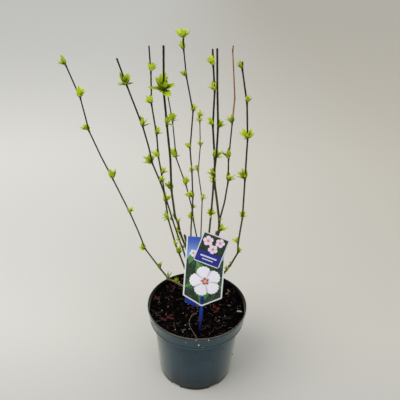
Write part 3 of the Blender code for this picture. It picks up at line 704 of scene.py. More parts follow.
def inner_radius(height):
    """The radius of the pot's inside at a height."""
    radii, heights = zip(*inner_wall())
    return float(np.interp(height, heights, radii))


def label_place():
    """The label's frame at the stake's place: x across the card, y up it and z out of its front."""
    stand = Matrix.Rotation(LABEL_YAW, 4, "Z") @ Matrix.Rotation(math.radians(90) - LABEL_LEAN, 4, "X")
    return Matrix.Translation(STAKE_AT_SOIL) @ stand @ Matrix.Rotation(-LABEL_TILT, 4, "Z")


def smooth_course(course):
    """Closely spaced points on a smooth curve through the course's points."""
    knots = [Vector(point) for point in course]
    around = zip([knots[0]] + knots, knots[1:] + [knots[-1]])
    headings = [(after - before).normalized() for before, after in around]
    curve = []
    for start, end, leaving, arriving in zip(knots, knots[1:], headings, headings[1:]):
        reach = (end - start).length / 3
        curve += geometry.interpolate_bezier(
            start, start + leaving * reach, end - arriving * reach, end, CURVE_STEPS
        )[:-1]
    return curve + [knots[-1]]


def point_along(curve, distance):
    """The point at a distance along the curve, and the curve's direction there."""
    for start, end in zip(curve, curve[1:]):
        length = (end - start).length
        if distance <= length:
            return start.lerp(end, distance / length), (end - start).normalized()
        distance -= length
    return curve[-1].copy(), (curve[-1] - curve[-2]).normalized()


def side_vector(angle, heading):
    """The unit vector across the heading that points to an angle from +X."""
    flat = Vector((math.cos(angle), math.sin(angle), 0))
    return (flat - flat.dot(heading) * heading).normalized()


def stem_joints(stem):
    """The stem's turning points as (distance, point, swell): foot, tufts, tip and middles of long runs."""
    curve = smooth_course(stem["course"])
    length = sum((end - start).length for start, end in zip(curve, curve[1:]))
    joints = [(0.0, curve[0], COLLAR_SWELL)]
    for distance, side, _ in stem["tufts"]:
        point, heading = point_along(curve, distance)
        if side is not None:
            point = point + side_vector(math.radians(side), heading) * KINK
        joints.append((distance, point, KNUCKLE_SWELL))
    if length - joints[-1][0] > KNUCKLE_LENGTH * 2:
        joints.append((length, curve[-1], 1.0))
    filled = joints[:1]
    for before, after in zip(joints, joints[1:]):
        parts = math.ceil((after[0] - before[0]) / LONGEST_STRAIGHT)
        for part in range(1, parts):
            distance = before[0] + (after[0] - before[0]) * part / parts
            filled.append((distance, point_along(curve, distance)[0], 1.0))
        filled.append(after)
    return filled, length


def stem_spine(stem):
    """The stem's (point, radius) pairs, straight between its joints and swollen at each knuckle."""
    joints, length = stem_joints(stem)
    foot_radius, tip_radius = stem["radii"]
    spine = []
    for index, (distance, point, swell) in enumerate(joints):
        radius = foot_radius + (tip_radius - foot_radius) * distance / length
        if swell == KNUCKLE_SWELL and index:
            toward = (joints[index - 1][1] - point).normalized()
            spine.append((point + toward * KNUCKLE_LENGTH, radius))
        spine.append((point, radius * swell))
        if swell != 1.0 and index + 1 < len(joints):
            toward = (joints[index + 1][1] - point).normalized()
            reach = KNUCKLE_LENGTH if index else COLLAR_LENGTH
            spine.append((point + toward * reach, radius))
    return spine


def tuft_leaves(stem, dice):
    """Where each leaf of the stem grows, as (root, direction, outward side, length), by a seeded rule."""
    leaves = []
    joints = {round(distance, 6): point for distance, point, _ in stem_joints(stem)[0]}
    curve = smooth_course(stem["course"])
    for distance, side, longest in stem["tufts"]:
        root = joints[round(distance, 6)]
        heading = point_along(curve, distance)[1]
        count = max(FEWEST_LEAVES, round(longest / LEAF_PER_LENGTH)) if longest else 0
        lean = dice.uniform(-1, 1)
        for index in range(count):
            if side is None:
                angle = math.tau * (index / count + lean)
            else:
                angle = math.radians(side) + lean * SIDE_SCATTER + (index - (count - 1) / 2) * TUFT_FAN
            outward = side_vector(angle + dice.uniform(-1, 1) * TUFT_SCATTER, heading)
            opening = OPENING + OPENING_STEP * (index % 3) + dice.uniform(-1, 1) * OPENING_SCATTER
            length = longest * dice.uniform(SHORTEST_LEAF, 1)
            direction = heading * math.cos(opening) + outward * math.sin(opening)
            leaves.append((root, direction, outward, length))
    return leaves


def nearest(points, line):
    """The least distance from each point to a line of straight runs, both as arrays."""
    starts, runs = line[:-1], np.diff(line, axis=0)
    offset = points[:, None, :] - starts[None]
    share = np.clip((offset * runs).sum(2) / (runs * runs).sum(1), 0, 1)
    return np.linalg.norm(offset - share[..., None] * runs, axis=2).min(1)


# SHAPING


def add_piece(name, work, nodes, materials, angle):
    """Ends a shape as a piece of the plant for the named solids, its edges sharp from an angle in degrees."""
    mesh = bpy.data.meshes.new(name)
    work.to_mesh(mesh)
    work.free()
    for material in materials:
        mesh.materials.append(material)
    piece = bpy.data.objects.new(name, mesh)
    bpy.context.scene.collection.objects.link(piece)
    mesh.shade_smooth()
    mesh.set_sharp_from_angle(angle=math.radians(angle))
    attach(piece, "root")
    if nodes:
        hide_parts(*nodes)


def softened(corners):
    """A profile through (radius, height, rounding) corners, with an arc at each rounded one."""
    line = [Vector(corners[0][:2])]
    for before, corner, after in zip(corners, corners[1:], corners[2:]):
        middle, rounding = Vector(corner[:2]), corner[2]
        start = middle + (Vector(before[:2]) - middle).normalized() * rounding
        end = middle + (Vector(after[:2]) - middle).normalized() * rounding
        for step in range(ARC_STEPS + 1 if rounding else 1):
            share = step / ARC_STEPS
            line.append(start.lerp(middle, share).lerp(middle.lerp(end, share), share))
    return line + [Vector(corners[-1][:2])]


def spun(profile, steps):
    """A closed shape turned about Z from (radius, height) points."""
    work = bmesh.new()
    points = [work.verts.new((radius, 0, height)) for radius, height in profile]
    runs = [work.edges.new(pair) for pair in zip(points, points[1:])]
    bmesh.ops.spin(
        work, geom=points + runs, cent=(0, 0, 0), axis=(0, 0, 1), angle=math.tau, steps=steps, use_merge=True
    )
    bmesh.ops.remove_doubles(work, verts=work.verts, dist=WELD)
    bmesh.ops.recalc_face_normals(work, faces=work.faces)
    return work


def rolled_tube(work, stations, sides, relief=None, finishes=None):
    """Rolls a grid into a tube through (point, radius) stations, with its two ends drawn to a point."""
    places = [Vector(point) for point, _ in stations]
    across = Vector(TUBE_SIDE)
    distance = 0
    rings = []
    for index, place in enumerate(places):
        before = next((other for other in places[index::-1] if (other - place).length > WELD), place)
        after = next((other for other in places[index:] if (other - place).length > WELD), place)
        heading = (after - before).normalized()
        across = (across - across.dot(heading) * heading).normalized()
        distance += (place - places[max(index - 1, 0)]).length
        rings.append((across.copy(), heading.cross(across), distance))
    last = len(stations) - 1
    grid = bmesh.ops.create_grid(work, x_segments=sides, y_segments=last, size=0.5)
    rows = {vertex: round((vertex.co.y + 0.5) * last) for vertex in grid["verts"]}
    for vertex, row in rows.items():
        angle = (vertex.co.x + 0.5) * math.tau
        first, second, along = rings[row]
        radius = stations[row][1]
        if relief and radius:
            radius += relief(angle, along, radius)
        vertex.co = places[row] + (first * math.cos(angle) + second * math.sin(angle)) * radius
    for face in {face for vertex in grid["verts"] for face in vertex.link_faces}:
        face.smooth = True
        face.material_index = finishes[max(rows[vertex] for vertex in face.verts)] if finishes else 0
    bmesh.ops.remove_doubles(work, verts=grid["verts"], dist=WELD)


def resampled(spine, spacing):
    """The (point, radius) pairs with more of them in between, at most the spacing apart."""
    fine = [(Vector(spine[0][0]), spine[0][1])]
    for (start, first), (end, last) in zip(spine, spine[1:]):
        start, end = Vector(start), Vector(end)
        parts = max(1, math.ceil((end - start).length / spacing))
        for part in range(1, parts + 1):
            share = part / parts
            fine.append((start.lerp(end, share), first + (last - first) * share))
    return fine


def eased(spine, rounds):
    """The (point, radius) pairs with their corners eased, the two ends kept."""
    for _ in range(rounds):
        middle = [
            ((before[0] + point * 2 + after[0]) / 4, (before[1] + radius * 2 + after[1]) / 4)
            for before, (point, radius), after in zip(spine, spine[1:], spine[2:])
        ]
        spine = [spine[0]] + middle + [spine[-1]]
    return spine


def pruned_end(spine, slant):
    """Stations that close a limb with a slanted pruning cut, past the spine's tip: its rim, wood and pith."""
    tip, radius = spine[-1]
    heading = (tip - spine[-2][0]).normalized()
    rim = tip + heading * radius * slant
    return [(rim + heading * height, radius * share) for share, height in CUT_PROFILE]


def round_edges(work, edges, width, steps):
    """Rounds a shape's edges."""
    bmesh.ops.bevel(work, geom=edges, offset=width, segments=steps, affect="EDGES", profile=0.5, material=-1)


# FINISHES


def shade(red, green, blue):
    """The linear colour for display values from 0 to 255."""
    return (*Color((red / 255, green / 255, blue / 255)).from_srgb_to_scene_linear(), 1)


def feed(tree, value, socket):
    """Links an output to a socket, or sets the socket to a plain value."""
    if isinstance(value, bpy.types.NodeSocket):
        tree.links.new(value, socket)
    else:
        socket.default_value = value


def maths(tree, operation, *values):
    """The result of a sum on values or outputs."""
    node = tree.nodes.new("ShaderNodeMath")
    node.operation = operation
    for value, socket in zip(values, node.inputs):
        feed(tree, value, socket)
    return node.outputs[0]


def times(tree, first, second):
    """The product of two values or outputs."""
    return maths(tree, "MULTIPLY", first, second)


def vectors(tree, operation, *values):
    """The result of a sum on vectors."""
    node = tree.nodes.new("ShaderNodeVectorMath")
    node.operation = operation
    for value, socket in zip(values, node.inputs):
        feed(tree, value, socket)
    return node.outputs["Value" if operation == "LENGTH" else "Vector"]


def parted(tree, vector):
    """A vector's x, y and z."""
    node = tree.nodes.new("ShaderNodeSeparateXYZ")
    feed(tree, vector, node.inputs[0])
    return node.outputs[0], node.outputs[1], node.outputs[2]


def joined(tree, x, y, z):
    """The vector of x, y and z."""
    node = tree.nodes.new("ShaderNodeCombineXYZ")
    for value, socket in zip((x, y, z), node.inputs):
        feed(tree, value, socket)
    return node.outputs[0]


def tint(tree, share, first, second):
    """The first colour with a share of the second one over it, each an output or display values."""
    node = tree.nodes.new("ShaderNodeMix")
    node.data_type = "RGBA"
    feed(tree, share, node.inputs[0])
    for colour, socket in ((first, node.inputs[6]), (second, node.inputs[7])):
        feed(tree, shade(*colour) if isinstance(colour, tuple) else colour, socket)
    return node.outputs[2]


def step_up(tree, value, low, high, start=0.0, end=1.0):
    """A smooth rise from start to end while the value goes from low to high."""
    node = tree.nodes.new("ShaderNodeMapRange")
    node.interpolation_type = "SMOOTHSTEP"
    for entry, socket in zip((value, low, high, start, end), node.inputs):
        feed(tree, entry, socket)
    return node.outputs[0]


def cloud(tree, place, scale, detail=3.0, roughness=0.55, distortion=0.0):
    """Soft noise from 0 to 1."""
    node = tree.nodes.new("ShaderNodeTexNoise")
    titles = ("Vector", "Scale", "Detail", "Roughness", "Distortion")
    for title, value in zip(titles, (place, scale, detail, roughness, distortion)):
        feed(tree, value, node.inputs[title])
    return node.outputs[0]


def cells(tree, place, scale):
    """A cell pattern's distance and its colour, one for each cell."""
    node = tree.nodes.new("ShaderNodeTexVoronoi")
    feed(tree, place, node.inputs["Vector"])
    feed(tree, scale, node.inputs["Scale"])
    return node.outputs["Distance"], node.outputs["Color"]


def new_group(name, inputs, outputs):
    """A shader node group with sockets of the given kinds: its tree, what comes in and what goes out."""
    tree = bpy.data.node_groups.new(name, "ShaderNodeTree")
    for side, sockets in (("INPUT", inputs), ("OUTPUT", outputs)):
        for title, kind in sockets.items():
            tree.interface.new_socket(title, in_out=side, socket_type="NodeSocket" + kind)
    return tree, tree.nodes.new("NodeGroupInput").outputs, tree.nodes.new("NodeGroupOutput").inputs


def use(tree, group, **values):
    """Places a node group in a tree, with values named as its inputs are."""
    node = tree.nodes.new("ShaderNodeGroup")
    node.node_tree = group
    for title, value in values.items():
        feed(tree, value, node.inputs[title.capitalize()])
    return node.outputs


def mottled(tree, groups, place, scale, tones, flecks):
    """The mottle of two tones and a fleck on a piece: its colour and its patches."""
    colours = dict(zip(("first", "second", "fleck"), (shade(*tone) for tone in tones)))
    return use(tree, groups["mottle"], place=place, scale=scale, flecks=flecks, **colours)


def mottle_group():
    """Two colours in soft patches, with a finer speckle of a third."""
    colours = {"First": "Color", "Second": "Color", "Fleck": "Color"}
    tree, given, result = new_group(
        "mottle",
        {"Place": "Vector", "Scale": "Float", "Flecks": "Float", **colours},
        {"Colour": "Color", "Patch": "Float"},
    )
    patch = step_up(tree, cloud(tree, given["Place"], given["Scale"], 4.0), 0.36, 0.64)
    fine = cloud(tree, given["Place"], times(tree, given["Scale"], 6.0), 2.0)
    fleck = times(tree, step_up(tree, fine, 0.52, 0.68), given["Flecks"])
    base = tint(tree, patch, given["First"], given["Second"])
    tree.links.new(tint(tree, fleck, base, given["Fleck"]), result["Colour"])
    tree.links.new(patch, result["Patch"])
    return tree


def grain_group():
    """Grooves and lighter pores that run up a limb."""
    tree, given, result = new_group(
        "limb_grain",
        {"Place": "Vector", "Scale": "Float", "Length": "Float"},
        {"Height": "Float", "Groove": "Float", "Pore": "Float"},
    )
    squeeze = joined(tree, 1.0, 1.0, maths(tree, "DIVIDE", 1.0, given["Length"]))
    place = vectors(tree, "MULTIPLY", given["Place"], squeeze)
    ridge = cloud(tree, place, given["Scale"], 4.0, 0.6, 0.4)
    pore = cells(tree, place, times(tree, given["Scale"], 0.9))[0]
    spots = step_up(tree, pore, 0.26, 0.12)
    height = maths(tree, "MULTIPLY_ADD", spots, 0.25, ridge)
    tree.links.new(height, result["Height"])
    tree.links.new(step_up(tree, ridge, 0.52, 0.36), result["Groove"])
    tree.links.new(spots, result["Pore"])
    return tree


def dust_group():
    """Where dust lies: on what faces up, in soft patches, and in specks all over."""
    sockets = {"Place": "Vector", "Lying": "Float", "Specks": "Float"}
    tree, given, result = new_group("dust", sockets, {"Mask": "Float"})
    normal = tree.nodes.new("ShaderNodeNewGeometry").outputs["Normal"]
    up = step_up(tree, parted(tree, normal)[2], 0.15, 0.9)
    patch = step_up(tree, cloud(tree, given["Place"], 90.0, 5.0, 0.65), 0.38, 0.66)
    lying = times(tree, times(tree, up, patch), given["Lying"])
    bits = step_up(tree, cloud(tree, given["Place"], 900.0, 2.0), 0.64, 0.74)
    sparse = step_up(tree, cloud(tree, given["Place"], 55.0, 2.0), 0.45, 0.62)
    specks = times(tree, times(tree, bits, sparse), given["Specks"])
    tree.links.new(maths(tree, "MAXIMUM", lying, specks), result["Mask"])
    return tree


def vein_group():
    """A leaf's midrib and side veins, on a map that runs up the leaf in x and across it in y."""
    tree, given, result = new_group("leaf_veins", {"Map": "Vector"}, {"Vein": "Float", "Along": "Float"})
    along, across, _ = parted(tree, given["Map"])
    aside = maths(tree, "ABSOLUTE", maths(tree, "SUBTRACT", across, 0.5))
    midrib = step_up(tree, aside, 0.075, 0.02)
    slope = maths(tree, "MULTIPLY_ADD", aside, -0.9, along)
    wave = maths(tree, "PINGPONG", times(tree, slope, 6.0), 0.5)
    side_vein = times(tree, step_up(tree, wave, 0.10, 0.02), 0.7)
    tree.links.new(maths(tree, "MAXIMUM", midrib, side_vein), result["Vein"])
    tree.links.new(along, result["Along"])
    return tree


def blossom_group():
    """A plain printed blossom of five round petals round a red eye and a cream middle."""
    form = {"Place": "Vector", "Middle": "Vector", "Radius": "Float", "Turn": "Float"}
    tree, given, result = new_group(
        "printed_blossom", {**form, "Petal": "Color", "Crease": "Color"}, {"Mask": "Float", "Colour": "Color"}
    )
    x, y, _ = parted(tree, vectors(tree, "SUBTRACT", given["Place"], given["Middle"]))
    reach = maths(tree, "DIVIDE", vectors(tree, "LENGTH", joined(tree, x, y, 0.0)), given["Radius"])
    angle = maths(tree, "ADD", maths(tree, "ARCTAN2", x, y), given["Turn"])
    lobe = maths(tree, "ABSOLUTE", maths(tree, "COSINE", times(tree, angle, 2.5)))
    ruffle = times(tree, maths(tree, "SINE", times(tree, angle, 31.0)), 0.018)
    ruffled = maths(tree, "ADD", ruffle, 0.71)
    edge = maths(tree, "MULTIPLY_ADD", maths(tree, "POWER", lobe, 0.6), 0.27, ruffled)
    tree.links.new(step_up(tree, maths(tree, "SUBTRACT", edge, reach), 0.0, 0.03), result["Mask"])
    fan = joined(tree, times(tree, angle, 9.0), reach, 0.0)
    streak = cloud(tree, fan, 3.0, 2.0)
    crease = times(tree, step_up(tree, lobe, 0.42, 0.05), 0.8)
    shaded = maths(tree, "MAXIMUM", crease, step_up(tree, streak, 0.55, 0.8, 0.0, 0.6))
    petal = tint(tree, shaded, given["Petal"], given["Crease"])
    eye_edge = maths(tree, "MULTIPLY_ADD", streak, 0.50, maths(tree, "MULTIPLY_ADD", lobe, 0.10, -0.07))
    eye = step_up(tree, maths(tree, "SUBTRACT", eye_edge, reach), 0.0, 0.07)
    reddened = tint(tree, eye, petal, EYE_TONE)
    bead = cloud(tree, given["Place"], 1600.0, 1.0)
    cream = tint(tree, step_up(tree, bead, 0.4, 0.6), *CREAM_TONES)
    middle = step_up(tree, reach, 0.12, 0.08)
    tree.links.new(tint(tree, middle, reddened, cream), result["Colour"])
    return tree


def printed_leaf_group():
    """A plain printed leaf: where it lies, and where its midrib is."""
    form = {"Place": "Vector", "Foot": "Vector", "Turn": "Float", "Length": "Float"}
    tree, given, result = new_group("printed_leaf", form, {"Mask": "Float", "Rib": "Float"})
    turned = tree.nodes.new("ShaderNodeVectorRotate")
    turned.rotation_type = "Z_AXIS"
    tree.links.new(given["Place"], turned.inputs["Vector"])
    tree.links.new(given["Foot"], turned.inputs["Center"])
    tree.links.new(given["Turn"], turned.inputs["Angle"])
    offset = vectors(tree, "SUBTRACT", turned.outputs[0], given["Foot"])
    size = joined(tree, given["Length"], given["Length"], 1.0)
    along, aside, _ = parted(tree, vectors(tree, "DIVIDE", offset, size))
    aside = maths(tree, "ABSOLUTE", aside)
    bow = maths(tree, "SINE", times(tree, maths(tree, "POWER", along, 0.75), math.pi))
    tooth = maths(tree, "PINGPONG", times(tree, along, 9.0), 0.5)
    width = times(tree, bow, maths(tree, "MULTIPLY_ADD", tooth, 0.10, 0.27))
    within = step_up(tree, maths(tree, "SUBTRACT", width, aside), 0.0, 0.02)
    past_foot = maths(tree, "GREATER_THAN", along, 0.0)
    before_tip = maths(tree, "LESS_THAN", along, 1.0)
    inside = times(tree, past_foot, before_tip)
    tree.links.new(times(tree, within, inside), result["Mask"])
    slope = maths(tree, "MULTIPLY_ADD", aside, -1.1, along)
    wave = maths(tree, "PINGPONG", times(tree, slope, 7.0), 0.5)
    veins = step_up(tree, wave, 0.12, 0.03, 0.0, 0.6)
    tree.links.new(maths(tree, "MAXIMUM", step_up(tree, aside, 0.03, 0.01), veins), result["Rib"])
    return tree


def new_finish(name, specular=0.5):
    """A material's tree, its shader and the place on the piece."""
    material = bpy.data.materials.new(name)
    material.use_nodes = True
    tree = material.node_tree
    shader = tree.nodes["Principled BSDF"]
    shader.inputs["Specular IOR Level"].default_value = specular
    return material, tree, shader, tree.nodes.new("ShaderNodeTexCoord").outputs["Object"]


def finish(tree, shader, colour, roughness, height, depth):
    """Feeds a shader its colour, its roughness and its relief."""
    feed(tree, colour, shader.inputs["Base Color"])
    feed(tree, roughness, shader.inputs["Roughness"])
    bump = tree.nodes.new("ShaderNodeBump")
    bump.inputs["Distance"].default_value = depth
    tree.links.new(height, bump.inputs["Height"])
    tree.links.new(bump.outputs[0], shader.inputs["Normal"])


def pot_plastic(groups):
    """Slate satin plastic: dust on its ledges, scuffs, painted light and shade, a dull foot in painted
    shadow.
    """
    material, tree, shader, place = new_finish("slate_pot_plastic", 0.12)
    shader.inputs["Sheen Weight"].default_value = POT_SHEEN
    shader.inputs["Sheen Roughness"].default_value = POT_SHEEN_ROUGHNESS
    shader.inputs["Sheen Tint"].default_value = shade(*POT_SHEEN_TINT)
    base = mottled(tree, groups, place, 28.0, POT_TONES, 0.2)
    x, y, z = parted(tree, place)
    # Painted shade: darker towards the bottom
    low_shaded = tint(tree, step_up(tree, z, *POT_LOW_SHADE_HEIGHTS, 0.0, 0.85), base["Colour"], POT_LOW_SHADE_TONE)
    # Painted light: the collar and rim a little paler
    collar_sheened = tint(tree, step_up(tree, z, *POT_COLLAR_SHEEN_HEIGHTS, 0.0, 0.12), low_shaded, POT_COLLAR_SHEEN_TONE)
    # Painted contact shadow at the foot; the same mask makes the foot rougher
    foot = step_up(tree, z, *POT_FOOT_SHADOW_AND_DULL_HEIGHTS, 0.0, 0.97)
    footed = tint(tree, foot, collar_sheened, POT_FOOT_SHADOW_TONE)
    # Painted highlight along the ledge at the collar's foot
    below, above = step_up(tree, z, *LEDGE_HIGHLIGHT_FROM_BELOW, 0.0, 0.45), step_up(tree, z, *LEDGE_HIGHLIGHT_FROM_ABOVE)
    ledge_highlighted = tint(tree, times(tree, below, above), footed, POT_LEDGE_HIGHLIGHT_TONE)
    scratch_place = vectors(tree, "MULTIPLY", place, (1.0, 1.0, 0.06))
    scratch = step_up(tree, cloud(tree, scratch_place, 420.0, 2.0, 0.5, 1.5), 0.70, 0.76, 0.0, 0.35)
    scuffed = tint(tree, scratch, ledge_highlighted, POT_SCUFF_TONE)
    dust = use(tree, groups["dust"], place=place, lying=0.6, specks=0.35)["Mask"]
    dusty = tint(tree, dust, scuffed, POT_DUST_TONE)
    rim_patches = step_up(tree, cloud(tree, place, 260.0, 3.0), 0.36, 0.58, 0.25, 1.0)
    rim = times(tree, step_up(tree, z, *RIM_DUST_HEIGHTS, 0.0, 0.55), rim_patches)
    rimmed = tint(tree, rim, dusty, POT_RIM_TONE)
    # Painted shade on the inside of the wall above the compost
    slope = (RIM_RADIUS - COLLAR_FOOT_RADIUS) / (POT_HEIGHT - COLLAR_FOOT_HEIGHT)
    outside = COLLAR_FOOT_RADIUS - slope * COLLAR_FOOT_HEIGHT
    skin_radius = maths(tree, "MULTIPLY_ADD", z, -slope, vectors(tree, "LENGTH", joined(tree, x, y, 0.0)))
    inside = step_up(tree, skin_radius, outside - WALL * 0.7, outside - WALL * 0.85)
    inside = times(tree, inside, maths(tree, "GREATER_THAN", z, COLLAR_FOOT_HEIGHT))
    colour = tint(tree, inside, rimmed, POT_INSIDE_SHADE_TONE)
    skin = cloud(tree, place, 1500.0, 3.0)
    rough = maths(tree, "MULTIPLY_ADD", base["Patch"], 0.08, 0.24)
    rough = maths(tree, "MULTIPLY_ADD", maths(tree, "MAXIMUM", dust, scratch), 0.4, rough)
    rough = maths(tree, "MULTIPLY_ADD", foot, 0.5, rough)
    finish(tree, shader, colour, rough, skin, 0.00006)
    return material


def compost_soil(groups, name, tones):
    """Dark moist peat, crumbly, in the given browns."""
    material, tree, shader, place = new_finish(name, 0.03)
    base = mottled(tree, groups, place, 170.0, tones, 0.55)
    damp = step_up(tree, cloud(tree, place, 60.0, 3.0), 0.35, 0.65, 0.62, 0.95)
    crumb = cells(tree, place, 900.0)[0]
    height = maths(tree, "MULTIPLY_ADD", cloud(tree, place, 1400.0, 4.0, 0.7), 1.2, crumb)
    finish(tree, shader, base["Colour"], damp, height, 0.0006)
    return material


def bark_chip(groups, name, tones):
    """Chipped bark: fibres along the chip, with dull edges."""
    material, tree, shader, place = new_finish(name, 0.15)
    base = mottled(tree, groups, place, 420.0, tones, 0.6)
    fibre = cloud(tree, vectors(tree, "MULTIPLY", place, (1.0, 0.35, 2.0)), 1500.0, 3.0, 0.6)
    finish(tree, shader, base["Colour"], 0.85, fibre, 0.0004)
    return material


def old_bark(groups):
    """Grey brown bark with darker grooves, pale pores and patches of green bloom."""
    material, tree, shader, place = new_finish("limb_bark", 0.3)
    base = mottled(tree, groups, place, 150.0, OLD_BARK_TONES, 0.5)
    grain = use(tree, groups["grain"], place=place, scale=620.0, length=7.0)
    grooved = tint(tree, times(tree, grain["Groove"], 0.8), base["Colour"], OLD_BARK_GROOVE)
    pored = tint(tree, times(tree, grain["Pore"], 0.35), grooved, OLD_BARK_PORE)
    bloom = step_up(tree, cloud(tree, place, 75.0, 3.0), 0.52, 0.70, 0.0, 0.35)
    finish(tree, shader, tint(tree, bloom, pored, OLD_BARK_BLOOM), 0.82, grain["Height"], 0.0009)
    return material


def cane_bark(groups, name, tones):
    """A young cane's thin bark, paler and browner towards its foot, with fine grooves and pores."""
    low, high, patches = tones
    material, tree, shader, place = new_finish(name, 0.15)
    height = parted(tree, place)[2]
    risen = tint(tree, step_up(tree, height, *CANE_TONE_HEIGHTS), low, high)
    footed = tint(tree, step_up(tree, height, *CANE_FOOT_TONE_HEIGHTS, 0.0, 0.95), risen, CANE_FOOT_TONE)
    grain = use(tree, groups["grain"], place=place, scale=1100.0, length=9.0)
    patch_place = vectors(tree, "MULTIPLY", place, (1.0, 1.0, 0.3))
    patch = step_up(tree, cloud(tree, patch_place, 190.0, 3.0), 0.38, 0.66, 0.0, 0.55)
    aged = tint(tree, patch, footed, patches)
    grooved = tint(tree, times(tree, grain["Groove"], 0.5), aged, CANE_GROOVE_TONE)
    colour = tint(tree, times(tree, grain["Pore"], 0.3), grooved, CANE_PORE_TONE)
    finish(tree, shader, colour, 0.75, grain["Height"], 0.0003)
    return material


def cut_wood(groups):
    """A pruning cut: pale wood that has dried and greyed."""
    material, tree, shader, place = new_finish("pruning_cut", 0.3)
    base = mottled(tree, groups, place, 700.0, CUT_WOOD_TONES, 0.5)
    finish(tree, shader, base["Colour"], 0.8, cloud(tree, place, 3000.0, 2.0), 0.0001)
    return material


def leaf_green(groups, name, tones):
    """A young leaf: two soft greens, paler veins, painted light at its tip and painted shade at its foot."""
    material, tree, shader, place = new_finish(name, 0.12)
    tone = mottled(tree, groups, place, 230.0, tones, 0.25)
    leaf_map = tree.nodes.new("ShaderNodeUVMap")
    leaf_map.uv_map = "UVMap"
    veins = use(tree, groups["veins"], map=leaf_map.outputs[0])
    # A painted highlight towards the tip and painted shade at the foot
    tip_highlighted = tint(tree, step_up(tree, veins["Along"], 0.45, 0.95, 0.0, 0.4), tone["Colour"], LEAF_TIP_HIGHLIGHT)
    shaded = tint(tree, step_up(tree, veins["Along"], 0.56, 0.10, 0.0, 0.92), tip_highlighted, LEAF_FOOT_SHADE)
    colour = tint(tree, times(tree, veins["Vein"], 0.30), shaded, tones[2])
    height = maths(tree, "MULTIPLY_ADD", veins["Vein"], -0.8, cloud(tree, place, 900.0, 2.0))
    finish(tree, shader, colour, 0.6, height, 0.0003)
    return material


def bud_scale(groups):
    """Dark brown bud scales and scars at a knuckle."""
    material, tree, shader, place = new_finish("bud_scale", 0.1)
    base = mottled(tree, groups, place, 900.0, BUD_TONES, 0.5)
    finish(tree, shader, base["Colour"], 0.75, cloud(tree, place, 2200.0, 3.0), 0.0003)
    return material


def label_map(tree, place, frame_place):
    """The place on a label, in metres across, up and out of its face."""
    mapping = tree.nodes.new("ShaderNodeMapping")
    mapping.vector_type = "TEXTURE"
    mapping.inputs["Location"].default_value = frame_place.to_translation()
    mapping.inputs["Rotation"].default_value = frame_place.to_euler()
    tree.links.new(place, mapping.inputs["Vector"])
    return mapping.outputs[0]


def printed_hedge(tree, spot, cell, tones):
    """A printed ground of small leaves, each its own green, dark between them."""
    distance, cell_colour = cells(tree, spot, cell)
    green = tint(tree, parted(tree, cell_colour)[0], *tones)
    deep = tint(tree, step_up(tree, distance, 0.35, 0.75, 0.0, 0.9), green, HEDGE_GAP_TONE)
    shadow = step_up(tree, cloud(tree, spot, cell * 0.4, 2.0), 0.42, 0.62, 0.0, 0.55)
    return tint(tree, shadow, deep, HEDGE_SHADE_TONE)


def printed_blossom(tree, groups, spot, picture, middle, radius, turn, petals):
    """The picture with a blossom printed over it."""
    petal, crease = (shade(*tone) for tone in petals)
    blossom = use(
        tree, groups["blossom"], place=spot, middle=(*middle, 0), radius=radius, turn=turn, petal=petal,
        crease=crease,
    )
    return tint(tree, blossom["Mask"], picture, blossom["Colour"])


def bordered(tree, picture, inset, border, tone):
    """The picture with a plain border, where the inset from the card's edge is less than the border."""
    return tint(tree, step_up(tree, inset, border, border - BORDER_BLUR), picture, tone)


def faced(tree, colour, depth, thickness, back):
    """The printed colour on a card's front and a plain one on its back and edges."""
    return tint(tree, maths(tree, "GREATER_THAN", depth, thickness * 0.9), back, colour)


def card_print(groups):
    """The large card: a white blossom and a bud among leaves under a blue sky, in a white border."""
    material, tree, shader, place = new_finish("large_card_print")
    spot = label_map(tree, place, label_place())
    x, y, z = parted(tree, spot)
    picture = printed_hedge(tree, spot, 210.0, HEDGE_TONES)
    drift = maths(tree, "MULTIPLY_ADD", cloud(tree, spot, 70.0, 4.0), 0.030, y)
    sky = tint(tree, step_up(tree, y, *SKY_HEIGHTS), *SKY_TONES)
    picture = tint(tree, step_up(tree, drift, *SKY_EDGE), picture, sky)
    for foot_x, foot_y, turn, length, green in PRINTED_LEAVES:
        leaf = use(
            tree, groups["printed_leaf"], place=spot, foot=(foot_x, foot_y, 0), turn=math.radians(-turn),
            length=length,
        )
        picture = tint(tree, leaf["Mask"], picture, tint(tree, leaf["Rib"], green, LEAF_RIB_TONE))
    for middle, radius, turn, petals in PRINTED_BLOSSOMS:
        picture = printed_blossom(tree, groups, spot, picture, middle, radius, turn, petals)
    half = CARD_WIDTH / 2
    aside = maths(tree, "ABSOLUTE", x)
    slope = math.atan2(CARD_POINT_DROP, half)
    low = times(tree, maths(tree, "SUBTRACT", y, CARD_POINT_HEIGHT), math.cos(slope))
    low = maths(tree, "MULTIPLY_ADD", aside, -math.sin(slope), low)
    inset = maths(tree, "MINIMUM", maths(tree, "SUBTRACT", half, aside), low)
    picture = bordered(tree, picture, inset, CARD_BORDER, CARD_BORDER_TONE)
    colour = faced(tree, picture, z, CARD_THICKNESS, CARD_BACK_TONE)
    label_skin(tree, shader, groups, place, colour)
    return material


